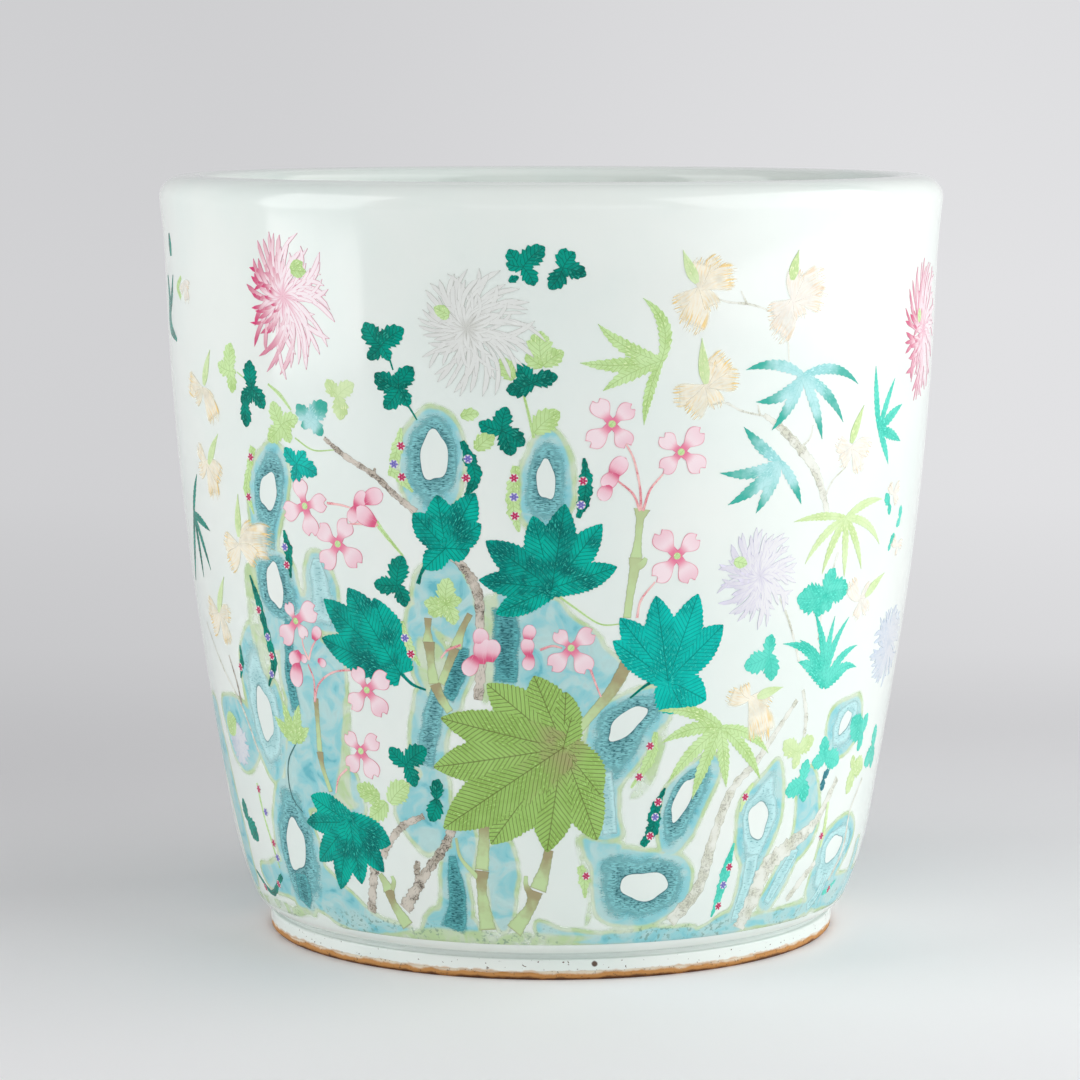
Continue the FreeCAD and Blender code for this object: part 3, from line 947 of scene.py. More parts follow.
def buds(piece, petals):
    """Begonias seen from the side: round petals from base to tip, as pairs of points one after the other."""
    bases, tips = petals[::2], petals[1::2]
    widths = 0.32 * lengths(tips - bases) + 0.5
    shape = blades(bases, tips, widths, bend=0.05, base=0.4, point=0.45, rows=12, columns=8)
    piece.add("begonia_bud", shape, FLOWER + stacked(tips, 0.006), dome=0.03, tint=0.7)


LOBE_FORM = {"belly": 0.5, "base": 0.45, "tooth": 0.1, "teeth": 2.3, "rows": 30}


def add_lobes(piece, paint, hub, tips, widths, lift=LEAF, **form):
    """A leaf of lobes that meet at the hub."""
    shape = blades(hub, tips, widths, **{**LOBE_FORM, **form})
    tint = chance(*np.round(tips).astype(int).ravel()[:2]).uniform(0.2, 0.8, len(tips))
    piece.add(paint, shape, lift + stacked(tips, 0.005), dome=0.02, tint=tint)


def ivy(piece, paint, hub, tips):
    """A small leaf of toothed lobes."""
    widths = 0.42 * lengths(tips - hub)
    add_lobes(piece, paint, hub, tips, widths, bend=0.06, base=0.4, point=0.66, tooth=0.3, teeth=2.9)


def pod(piece, paint, points, widths, stars):
    """A long pod with small star flowers painted along it, each a place and a paint."""
    piece.add(paint, ribbon(points, widths, rough=0.14), LEAF, dome=0.02)
    for number, (centre, star_paint) in enumerate(stars):
        angle = np.arange(6) * math.pi / 3 + number
        way = np.stack([np.cos(angle), np.sin(angle)], -1)
        piece.add("white", drop(centre, 2.1), LEAF + 0.05, tint=0.2, ring=True)
        shape = blades(centre + way * 0.2, centre + way * 2.2, 0.55, base=0.4, point=0.5, rows=3, columns=2)
        piece.add(star_paint, shape, DETAIL, tint=0.6)


def feather(name, paint, base, tips, calyx):
    """A feathery flower: broad combed fans that open from the base, and the green calyx that holds them."""
    reach = tips - base
    widths = 0.42 * lengths(reach)
    shape = blades(base, base + 1.22 * reach, widths, bend=0.08, belly=0.72, base=0.2, point=0.6, columns=12)
    flower = Enamel(name).add(paint, shape, FLOWER + stacked(tips, 0.006), dome=0.01)
    if calyx is not None:
        form = {"bend": 0.02, "belly": 0.3, "base": 0.4, "point": 1.2, "tooth": 0.0}
        add_lobes(flower, "pale_lime", calyx[0], calyx[1:], 5 * PIXEL, lift=DETAIL, **form)
    flower.fire()


def stem(piece, paint, points, widths, lift=STEM, rows=60):
    """A branch, stalk or line, rough where it is bark."""
    rough = 0.13 if paint.endswith("bark") else 0.04
    piece.add(paint, ribbon(points, widths, rows, rough=rough), lift, dome=0.015)


def solid_rock(name, paint, points, widths):
    """A rock with no hole: a band whose motif runs out from its middle line and whose strokes lie level."""
    sheet, across, along, _ = ribbon(points, widths, 36, 10)
    outward = 0.1 + 0.9 * np.maximum(np.abs(across) ** 1.5, np.abs(2 * along - 1) ** 5)
    Enamel(name).add(paint, (sheet, across, outward, sheet[..., ::-1]), ROCK + 0.01).fire()


NOWHERE = -30.0  # the depth of a point that is far from every outline


def depth_inside(points, outline):
    """How deep sheet points lie inside a smooth closed outline, and minus the distance for those outside: the
    least distance to its sides, positive where a level ray from the point crosses an odd number of them."""
    line = smooth_line(outline, 6 * len(outline), is_closed=True)
    side = np.roll(line, -1, axis=0) - line
    away = points[:, None] - line
    share = np.clip((away * side).sum(-1) / (side**2).sum(-1), 0, 1)
    gap = np.linalg.norm(away - share[..., None] * side, axis=-1).min(1)
    level = points[:, 1:]
    passes = (line[:, 1] > level) != (line[:, 1] + side[:, 1] > level)
    rise = np.where(side[:, 1] == 0, 1e-9, side[:, 1])
    crossed = passes & (points[:, :1] < line[:, 0] + (level - line[:, 1]) * side[:, 0] / rise)
    return np.where(crossed.sum(1) % 2 == 1, gap, -gap)


def deepest(points, outlines, grow=0.0):
    """The depth inside a union of outlines that are all widened by grow."""
    depth = np.full(len(points), NOWHERE)
    for outline in outlines:
        low, high = outline.min(0) - 12, outline.max(0) + 12
        near = np.flatnonzero(((points > low) & (points < high)).all(1))
        depth[near] = np.maximum(depth[near], depth_inside(points[near], outline) + grow)
    return depth


def band_outline(points, widths):
    """The closed outline of a band: its one side down and its other side back."""
    sheet = ribbon(points, widths, 8, 2)[0][0]
    return np.concatenate([sheet[:, 0], sheet[::-1, 2]])


def ground_skin(name, pools, rocks, greens, holes, step=1.5):
    """One thin skin of enamel under the rocks, on an even grid of the sheet, kept where it lies near the pools and
    rocks or inside the greens, and outside the holes. It carries depth, moss and hole for its material."""
    everywhere = np.concatenate([*pools, *rocks, *greens])
    low, high = everywhere.min(0) - 8, everywhere.max(0) + 8
    low[1] = max(low[1], LOWEST_PAINT)
    across, up = (np.arange(a, b, step) for a, b in zip(low, high))
    sheet = np.stack(np.meshgrid(across, up), -1)
    flat = sheet.reshape(-1, 2)
    many = len(flat)
    depth = np.maximum(deepest(flat, pools), deepest(flat, rocks, grow=1.2))
    moss, hole = deepest(flat, greens), deepest(flat, holes)
    quad = quads(np.arange(many).reshape(sheet.shape[:2]))
    inside = np.maximum(depth[quad] + GREEN_BAND, moss[quad] + 1.0).max(1) > 0
    quad = quad[inside & (hole[quad].min(1) < 0.8)]
    if BEHIND[0]:
        flat = flat + HALF_ROUND
    edges = np.stack([quad, np.roll(quad, -1, 1)], -1).reshape(-1, 2)
    rim = edges[~np.isin(edges[:, 0] * many + edges[:, 1], edges[:, 1] * many + edges[:, 0])]
    walls = np.stack([rim[:, 1], rim[:, 0], rim[:, 0] + many, rim[:, 1] + many], -1)
    faces = np.concatenate([quad, quad[:, ::-1] + many, walls])
    points = np.concatenate([on_wall(flat, WASH), on_wall(flat, -DEPTH)])
    used, faces = np.unique(faces, return_inverse=True)
    mesh = smooth_mesh(name, points[used], faces.reshape(-1, 4).tolist(), PAINTS["ground_wash"])
    for label, values in (("depth", depth), ("moss", moss), ("hole", hole)):
        note_points(mesh, label, np.tile(values, 2)[used])
    finished(name, mesh)


# ---------------------------------------------------------------- the painted garden

# Places are read off the photograph, in its 1080 pixel frame, and so are half-widths. Only the mums' reaches are
# in millimetres on the wall.

# Mums: paint, heart, the reaches right, up, left and down, how much the left side is flushed, and the leaf's hub
# and tips.
MUMS = {
    "mum_pink": ("pink_mum", (283, 296), (30, 31, 25, 41), 0.75, [(291, 270), (303, 262), (306, 272)]),
    "mum_white": ("white_mum", (467, 328), (34, 29, 22, 32), 0.35, [(449, 315), (434, 307), (440, 318)]),
    "mum_lilac": ("lilac_mum", (760, 576), (22, 24, 24, 25), 0.6, [(734, 561), (747, 564)]),
    "mum_pink_edge": ("pink_mum", (923, 330), (28, 36, 28, 36), 0.6, [(919, 322), (919, 308)]),
    "mum_blue_edge": ("blue_mum", (888, 642), (26, 20, 26, 22), 0.5, None),
    "mum_blue_left": ("blue_mum", (239, 742), (14, 12, 12, 12), 0.5, [(229, 728), (236, 719)]),
}
# Begonias: the heart and the middle of each petal.
BEGONIAS = [
    [(612, 424), (601, 407), (627, 412), (595, 438), (623, 440)],
    [(681, 452), (668, 440), (696, 437), (667, 465), (696, 465)],
    [(677, 556), (664, 539), (692, 543), (661, 572), (687, 574)],
    [(571, 648), (561, 636), (587, 637), (556, 662), (583, 665)],
    [(305, 506), (301, 487), (320, 504), (290, 510), (310, 527)],
    [(338, 544), (324, 531), (346, 528), (327, 559), (353, 559)],
    [(296, 621), (290, 608), (310, 613), (286, 634), (303, 633)],
    [(367, 690), (359, 674), (382, 681), (355, 701), (379, 708)],
    [(361, 751), (351, 738), (373, 743), (352, 763), (371, 770)],
]
# Begonias seen from the side: each petal's base and tip.
BUDS = [
    [(612, 478), (626, 458), (617, 471), (602, 487), (609, 483), (600, 500)],
    [(356, 508), (367, 493), (363, 502), (383, 494), (356, 506), (350, 522), (376, 524), (356, 507)],
    [(300, 652), (290, 662), (300, 656), (307, 662), (297, 662), (295, 686)],
    [(318, 660), (326, 666), (314, 640), (320, 628)],
    [(528, 642), (532, 625), (529, 656), (528, 638), (530, 654), (526, 670)],
    [(482, 650), (482, 628), (481, 664), (487, 638), (490, 662), (496, 640), (476, 656), (464, 674)],
]
# Feathery flowers: paint, base, tips of the fans and, if it has one, the calyx's base and tip.
FEATHERS = {
    "feather_top": (
        "feather", (700, 288), [(676, 304), (688, 326), (712, 308), (722, 264), (733, 278), (704, 262)],
        [(697, 283), (683, 250)],
    ),
    "feather_middle": (
        "feather", (706, 386), [(676, 394), (690, 412), (716, 406), (736, 382), (727, 360), (712, 362)],
        [(706, 384), (702, 338)],
    ),
    "feather_pale": (
        "peach", (793, 300), [(770, 312), (776, 334), (800, 318), (822, 302), (822, 280), (798, 272)],
        [(792, 280), (799, 250)],
    ),
    "feather_right": (
        "peach", (852, 447), [(838, 442), (840, 462), (858, 470), (868, 450)], [(851, 443), (864, 405)],
    ),
    "feather_far": (
        "peach", (860, 600), [(852, 582), (870, 588), (866, 612), (854, 618)], [(865, 596), (884, 573)],
    ),
    "feather_far_high": ("peach", (893, 494), [(890, 484), (899, 486), (896, 503)], None),
    "feather_far_mid": ("peach", (897, 545), [(893, 538), (901, 545), (895, 555)], None),
    "feather_low": (
        "feather", (750, 698), [(730, 694), (745, 684), (768, 704), (760, 738)], [(757, 697), (783, 687)],
    ),
    "feather_edge": ("peach", (184, 282), [(181, 290), (187, 302), (189, 288)], None),
    "feather_left_high": (
        "feather", (203, 389), [(190, 380), (196, 398), (212, 404), (214, 420)], [(204, 385), (210, 350)],
    ),
    "feather_left": (
        "feather", (207, 462), [(199, 446), (200, 470), (214, 496), (220, 478)], [(209, 464), (218, 434)],
    ),
    "feather_left_mid": (
        "feather", (240, 546), [(226, 538), (230, 562), (254, 532), (270, 546), (256, 562)],
        [(239, 537), (238, 494)],
    ),
    "feather_left_low": (
        "feather", (220, 614), [(209, 602), (213, 624), (228, 642), (230, 616)], [(219, 612), (224, 577)],
    ),
}
# Small leaves, from the rim down: paint, hub and the lobes' tips.
IVY = [
    ("teal_small", (523, 267), [(509, 249), (545, 247), (534, 286), (506, 263)]),
    ("teal_small", (509, 282), [(519, 277)]),
    ("teal_small", (563, 268), [(566, 248), (549, 289), (586, 276), (575, 252)]),
    ("teal_small", (381, 346), [(365, 322), (404, 329), (367, 358), (389, 361)]),
    ("teal_small", (399, 389), [(375, 373), (413, 367), (384, 408), (400, 371), (408, 407)]),
    ("teal_small", (533, 383), [(518, 363), (506, 390), (558, 377)]),
    ("teal_small", (502, 431), [(479, 422), (507, 407), (511, 456), (524, 446)]),
    ("teal_small", (252, 388), [(250, 360), (241, 402), (264, 409)]),
    ("teal_small", (244, 403), [(246, 427)]),
    ("teal_small", (397, 585), [(403, 556), (374, 583), (405, 607)]),
    ("teal_small", (406, 765), [(390, 747), (427, 749), (415, 787)]),
    ("teal_small", (437, 799), [(439, 779), (430, 821)]),
    ("teal_small", (248, 820), [(243, 798), (259, 841)]),
    ("mint", (826, 594), [(797, 598), (815, 616), (835, 568), (848, 590), (828, 612)]),
    ("mint", (769, 655), [(744, 666), (772, 634), (771, 681)]),
    ("mint", (803, 781), [(785, 792), (808, 759), (803, 802)]),
    ("mint", (825, 758), [(825, 736), (838, 763), (812, 762)]),
    ("mint", (862, 733), [(852, 718), (868, 713), (857, 751)]),
    ("mint", (873, 747), [(876, 724), (864, 763), (870, 768)]),
    ("mint", (889, 504), [(886, 493), (889, 515)]),
    ("mint", (900, 518), [(901, 505), (896, 526)]),
    ("mint", (890, 543), [(895, 535), (888, 551)]),
    ("ink_leaf", (823, 779), [(829, 770), (821, 791)]),
    ("turquoise", (311, 421), [(297, 404), (327, 403), (322, 436), (301, 426)]),
    ("lime", (514, 379), [(502, 357)]),
    ("teal_light", (297, 464), [(285, 447), (317, 475), (294, 484), (306, 452)]),
    ("lime", (230, 371), [(218, 363), (231, 343), (232, 393), (236, 373)]),
    ("lime", (281, 425), [(273, 401), (298, 419), (268, 440), (290, 443)]),
    ("pale_lime", (338, 396), [(327, 379), (354, 384), (340, 420)]),
    ("lime", (543, 366), [(541, 331), (564, 352), (526, 354)]),
    ("lime", (461, 417), [(479, 414)]),
    ("lime", (476, 450), [(495, 435)]),
    ("lime", (534, 433), [(560, 412)]),
    ("lime", (446, 604), [(449, 578), (424, 602), (454, 625), (428, 613), (462, 600)]),
    ("lime", (380, 797), [(357, 785)]),
    ("lime", (386, 802), [(370, 817)]),
    ("lime", (390, 803), [(409, 784)]),
    ("pale_lime", (798, 752), [(784, 741), (814, 739), (793, 769)]),
    ("pale_lime", (853, 768), [(853, 755), (846, 794), (862, 768)]),
]
# Broad leaves: paint, hub, the lobes' tips and their half-widths.
BROAD = {
    "broad_teal_left": (
        "teal", (446, 548), [(424, 569), (413, 513), (437, 495), (475, 493), (481, 524), (470, 550)],
        (12, 15, 16, 16, 14, 13),
    ),
    "broad_teal_middle": (
        "teal", (552, 588),
        [(496, 614), (479, 580), (486, 541), (533, 516), (602, 524), (617, 567), (565, 504)],
        (13, 14, 17, 17, 16, 14, 17),
    ),
    "broad_teal_drop": (
        "teal", (401, 674), [(322, 638), (324, 599), (374, 598), (348, 588)], (19, 20, 21, 23),
    ),
    "broad_teal_right": (
        "teal_light", (668, 680),
        [(684, 712), (706, 700), (613, 641), (620, 618), (723, 625), (698, 594), (656, 596)],
        (23, 18, 15, 17, 19, 19, 18),
    ),
    "broad_teal_low": (
        "teal", (350, 822),
        [(311, 796), (307, 822), (320, 861), (391, 844), (384, 872), (341, 889), (362, 884)],
        (16, 13, 15, 17, 15, 16, 16),
    ),
    "grape_leaf": (
        "grape", (563, 748),
        [
            (487, 684), (534, 676), (566, 692), (572, 716), (601, 796), (597, 840), (547, 852), (491, 844),
            (441, 718), (434, 767), (444, 828),
        ],
        (24, 24, 18, 16, 24, 24, 26, 28, 22, 25, 30),
    ),
}
# Fingered leaves: the same, and how far each lobe bows.
MAPLES = {
    "maple_lime_top": (
        "lime", (661, 361), [(643, 298), (598, 324), (580, 363), (603, 391), (644, 425)],
        (7, 7.5, 8, 8, 5.5), (-0.18, 0.08, 0.04, -0.05, -0.05),
    ),
    "maple_turquoise_top": (
        "turquoise", (803, 376), [(746, 370), (756, 402), (772, 430), (822, 439), (843, 422), (858, 384)],
        (6, 6.5, 7, 6.5, 6, 5.5), (-0.12, 0.12, 0.05, 0.04, 0.08, 0.14),
    ),
    "maple_turquoise_low": (
        "turquoise", (780, 462), [(744, 427), (720, 473), (728, 505), (756, 513), (801, 504)],
        (6.5, 6.5, 7.5, 7.5, 6), (0.04, 0.08, 0.05, 0.03, 0.05),
    ),
    "maple_teal_edge": (
        "mint", (879, 430), [(876, 366), (895, 378), (902, 404), (900, 441), (888, 464)], (5, 5, 6, 6, 5),
        0.03,
    ),
    "maple_lime_right": (
        "pale_lime", (846, 518),
        [(794, 522), (805, 564), (822, 574), (844, 577), (861, 569), (879, 544), (882, 499)],
        (4.5, 5, 5.5, 5.5, 5, 5, 5), (-0.05, -0.1, -0.06, 0.0, 0.05, 0.1, 0.08),
    ),
    "maple_mint_fan": (
        "mint", (824, 687),
        [
            (783, 644), (798, 662), (800, 640), (815, 613), (835, 616), (849, 617), (857, 645), (848, 668),
            (856, 667),
        ],
        (7, 9, 6, 6, 5.5, 5.5, 5.5, 9, 6), (-0.16, -0.1, -0.1, -0.06, 0.05, 0.12, 0.14, 0.1, 0.16),
    ),
    "maple_lime_low": (
        "lime", (721, 728),
        [(658, 711), (662, 743), (668, 783), (692, 799), (726, 787), (760, 779), (768, 753)],
        (7, 7.5, 8, 8, 7.5, 7, 6), (-0.1, -0.1, -0.06, -0.03, 0.0, 0.06, 0.1),
    ),
    "maple_teal_left": (
        "teal_small", (194, 513), [(197, 474), (210, 531), (196, 580), (204, 577), (211, 570)],
        (4, 5, 4, 4, 4), 0.03,
    ),
    "sprig_lime": (
        "lime", (297, 742), [(275, 716), (283, 702), (299, 705), (309, 728)], (8, 8, 8, 7), 0.03,
    ),
}
# Pods: paint, middle line, half-widths and the stars on them.
PODS = [
    (
        "lime", [(401, 428), (397, 450), (390, 476)], (1, 6, 2),
        [((401, 446), "star_red"), ((394, 464), "star_violet")],
    ),
    ("lime", [(391, 470), (400, 478), (413, 492)], (2, 5, 1), [((402, 477), "star_red")]),
    (
        "teal_small", [(462, 441), (470, 460), (475, 478), (466, 496)], (2, 6, 6, 2),
        [((468, 459), "star_violet"), ((466, 478), "star_red")],
    ),
    (
        "lime", [(516, 466), (513, 490), (514, 512), (519, 532)], (3, 6, 6, 1),
        [((514, 478), "star_red"), ((514, 497), "star_violet"), ((515, 516), "star_red")],
    ),
    (
        "teal_small", [(584, 458), (586, 480), (584, 500), (578, 518)], (1, 6, 6, 2),
        [((583, 481), "star_red"), ((581, 505), "star_violet")],
    ),
    (
        "lime", [(253, 447), (249, 470), (247, 490), (254, 514)], (4, 4, 5, 1),
        [((251, 457), "star_red"), ((249, 497), "star_red")],
    ),
    (
        "teal_small", [(284, 530), (288, 550), (291, 578)], (1, 6, 1),
        [((285, 547), "star_violet"), ((287, 565), "star_red")],
    ),
    (
        "teal_small", [(250, 575), (258, 600), (264, 622), (270, 645), (274, 665), (269, 686)],
        (1, 5, 4, 5, 5, 1),
        [
            ((259, 610), "star_red"), ((268, 637), "star_violet"), ((272, 656), "star_red"),
            ((272, 674), "star_violet"),
        ],
    ),
    ("teal_small", [(240, 645), (242, 662), (241, 678)], (1, 4, 1), [((241, 667), "star_red")]),
    (
        "lime", [(402, 621), (408, 645), (420, 666)], (1, 6, 1),
        [((405, 638), "star_violet"), ((411, 654), "star_red")],
    ),
    (
        "lime", [(656, 732), (650, 758), (631, 788)], (2, 6, 1),
        [((650, 746), "star_red"), ((639, 777), "star_red")],
    ),
    (
        "teal_small", [(665, 788), (655, 810), (653, 828), (642, 846)], (1, 6, 7, 3),
        [((658, 802), "star_red"), ((655, 817), "star_violet"), ((650, 836), "star_red")],
    ),
    (
        "mint", [(734, 843), (726, 870), (719, 895), (711, 917)], (1, 6, 5, 1),
        [((729, 867), "star_red"), ((723, 885), "star_violet"), ((718, 906), "star_red")],
    ),
    ("lime", [(580, 866), (584, 880), (585, 898)], (3, 6, 1), [((586, 876), "star_red")]),
    (
        "lime", [(257, 783), (264, 815), (272, 842), (280, 868)], (1.5, 1.5, 1.5, 1),
        [
            ((259, 789), "star_red"), ((266, 812), "star_violet"), ((274, 843), "star_red"),
            ((278, 858), "star_violet"),
        ],
    ),
    (
        "teal_small", [(257, 871), (273, 893), (282, 876)], (2, 3, 3),
        [((266, 887), "star_red"), ((279, 884), "star_red")],
    ),
    ("mint", [(822, 893), (828, 889), (835, 880)], (2, 4, 1), [((828, 889), "star_red")]),
    ("pale_lime", [(753, 783), (745, 797), (740, 812)], (1, 4, 1), [((745, 797), "star_red")]),
    ("pale_lime", [(828, 802), (824, 830), (820, 848)], (2, 3, 1), [((821, 836), "star_red")]),
]
# Stems: paint, middle line and half-widths.
STEMS = [
    ("bark", [(324, 438), (345, 456), (374, 475), (394, 494), (416, 512)], (2, 3, 3, 3, 3.5)),
    ("bark", [(374, 475), (375, 468)], (2, 1)),
    ("lime", [(268, 384), (280, 395), (291, 410)], (1, 2, 1)),
    ("lime", [(295, 438), (313, 450), (334, 450)], (0.8, 0.8, 0.6)),
    ("lime", [(237, 372), (244, 378)], (0.7, 0.7)),
    ("teal_small", [(384, 350), (389, 358), (393, 370)], (1.2, 0.9, 0.7)),
    ("teal_small", [(404, 400), (411, 410), (417, 420)], (1.2, 0.9, 0.7)),
    ("lime", [(524, 396), (528, 412), (534, 438)], (1, 1.2, 1.5)),
    ("pale_bark", [(712, 297), (728, 302), (748, 304), (765, 309), (781, 318)], (0.8, 1, 1.2, 0.8, 0.6)),
    ("pale_bark", [(747, 304), (741, 291)], (1, 0.7)),
    ("pale_bark", [(780, 320), (787, 334), (789, 361)], (0.7, 1, 0.8)),
    ("pale_bark", [(798, 305), (793, 322), (788, 336)], (0.8, 0.8, 0.7)),
    ("pale_bark", [(712, 404), (726, 403), (742, 411), (764, 416)], (0.7, 1.2, 1, 0.8)),
    ("pale_bark", [(760, 416), (758, 405)], (1.2, 0.8)),
    (
        "pale_bark", [(764, 415), (780, 427), (802, 451), (815, 470), (824, 498), (827, 514)],
        (2, 4, 5, 5, 4, 3),
    ),
    ("pale_bark", [(800, 448), (810, 438), (813, 425)], (1.2, 1, 0.6)),
    ("pale_bark", [(824, 498), (833, 480), (848, 465)], (1.5, 1, 0.6)),
    ("pale_bark", [(838, 552), (824, 600), (818, 640)], (1.5, 1.2, 1)),
    ("pale_bark", [(780, 598), (790, 625), (799, 662)], (1, 1.3, 1.5)),
    ("lime", [(376, 522), (384, 533), (403, 556)], (2.5, 2, 1)),
    ("stalk", [(642, 509), (640, 520), (638, 540), (636, 558)], (8, 4, 3.5, 6)),
    ("stalk", [(636, 558), (634, 572), (630, 595), (627, 618)], (7, 5, 4, 4)),
    ("stalk", [(634, 568), (642, 564), (646, 558)], (4, 4, 2)),
    ("bamboo", [(628, 662), (612, 690), (592, 714), (568, 742)], (7, 6, 5, 5)),
    ("bamboo", [(316, 698), (318, 725), (320, 752)], (3.5, 3, 4)),
    ("bamboo", [(320, 752), (323, 768), (331, 792)], (5, 3, 3)),
    (
        "bark", [(449, 554), (462, 566), (472, 580), (479, 600), (480, 636), (481, 668), (478, 700)],
        (4, 4, 5, 5, 4, 5, 5),
    ),
    ("bamboo", [(428, 618), (428, 630), (428, 642)], (4, 3, 6)),
    ("bamboo", [(429, 642), (431, 662), (434, 684)], (6, 4, 6)),
    ("bamboo", [(435, 684), (440, 696), (450, 712)], (6, 5, 4)),
    ("bamboo", [(470, 614), (462, 630), (456, 648)], (3, 3.5, 6)),
    ("bamboo", [(455, 648), (449, 664), (441, 684)], (5, 4, 4)),
    ("bark", [(383, 857), (390, 842), (403, 826), (424, 816)], (4, 4, 4, 3)),
    ("bark", [(375, 866), (373, 888), (372, 912)], (6, 5, 6)),
    ("bark", [(452, 829), (444, 848), (428, 870), (416, 890), (405, 909)], (5, 5, 5, 6, 8)),
    ("bark", [(420, 884), (417, 872), (418, 861)], (4, 4, 3)),
    ("stalk", [(380, 874), (385, 882), (389, 890)], (3, 5, 8)),
    ("bamboo", [(389, 890), (394, 904), (408, 926)], (7, 5, 9)),
    ("stalk", [(392, 890), (394, 882), (392, 876)], (3, 3, 2)),
    ("bamboo", [(484, 815), (484, 840), (482, 870)], (6, 6, 8)),
    ("bamboo", [(482, 871), (482, 892), (488, 930)], (8, 5.5, 10)),
    ("stalk", [(456, 838), (461, 858), (478, 878)], (1.5, 2, 3)),
    ("bamboo", [(549, 850), (545, 868), (538, 890)], (5, 6, 10)),
    ("bamboo", [(535, 891), (530, 908), (514, 931)], (9, 6, 10)),
    ("bamboo", [(530, 893), (526, 885), (526, 876)], (4, 3, 2)),
    (
        "pale_bark", [(797, 700), (780, 726), (756, 762), (732, 790), (712, 842), (698, 888), (670, 922)],
        (2.5, 3, 4, 5, 6, 7, 8),
    ),
    (
        "pale_bark", [(837, 778), (815, 822), (790, 845), (766, 868), (752, 900), (738, 928)],
        (4, 6, 9, 11, 11, 10),
    ),
    ("pale_bark", [(815, 862), (801, 880), (786, 900)], (3, 5, 4)),
    ("pale_bark", [(862, 778), (850, 810), (842, 850), (828, 880)], (2, 2, 3, 2)),
    ("pale_bark", [(803, 690), (806, 715), (804, 736)], (2, 3, 2)),
    ("pale_bark", [(207, 622), (222, 664), (242, 706), (259, 752)], (1, 1.5, 2, 2)),
    ("bark", [(229, 655), (237, 682), (242, 704)], (1, 1.5, 2)),
    ("ink", [(298, 740), (289, 760), (289, 782), (294, 800), (303, 812)], (0.8, 0.9, 0.9, 0.8, 0.5)),
    ("teal_small", [(169, 233), (170, 244), (171, 256)], (2, 6, 3)),
    ("teal_small", [(168, 275), (170, 300), (171, 325), (177, 340)], (2, 6, 8, 2)),
    ("teal_small", [(173, 275), (172, 295), (171, 310)], (1, 4, 3)),
    ("lime", [(181, 277), (178, 287), (181, 298)], (2, 4, 3)),
    ("teal", [(399, 671), (412, 684), (426, 690)], (2, 1.5, 1)),
    ("teal_small", [(664, 678), (648, 684), (630, 698)], (2, 1.5, 1)),
    ("teal_small", [(425, 566), (421, 574), (418, 584)], (2, 1.5, 2)),
    ("lime", [(556, 594), (575, 608), (600, 624), (622, 624)], (1, 1, 0.8, 0.6)),
]
PINK_STEMS = [
    [(641, 510), (640, 488), (634, 460), (626, 444)],
    [(640, 511), (633, 494), (618, 481)],
    [(643, 511), (650, 490), (663, 474)],
    [(637, 618), (641, 600), (655, 582)],
    [(315, 702), (314, 680), (308, 664)],
    [(315, 702), (319, 684), (334, 672), (358, 670)],
    [(309, 660), (312, 648), (316, 640)],
    [(309, 660), (304, 648), (302, 638)],
    [(327, 503), (341, 505), (354, 509)],
    [(378, 526), (368, 512), (362, 502)],
    [(376, 526), (362, 524), (350, 524)],
    [(347, 769), (339, 778), (336, 793)],
    [(590, 668), (595, 682), (601, 697)],
    [(461, 645), (448, 650), (441, 658)],
    [(540, 650), (552, 646), (562, 648)],
]
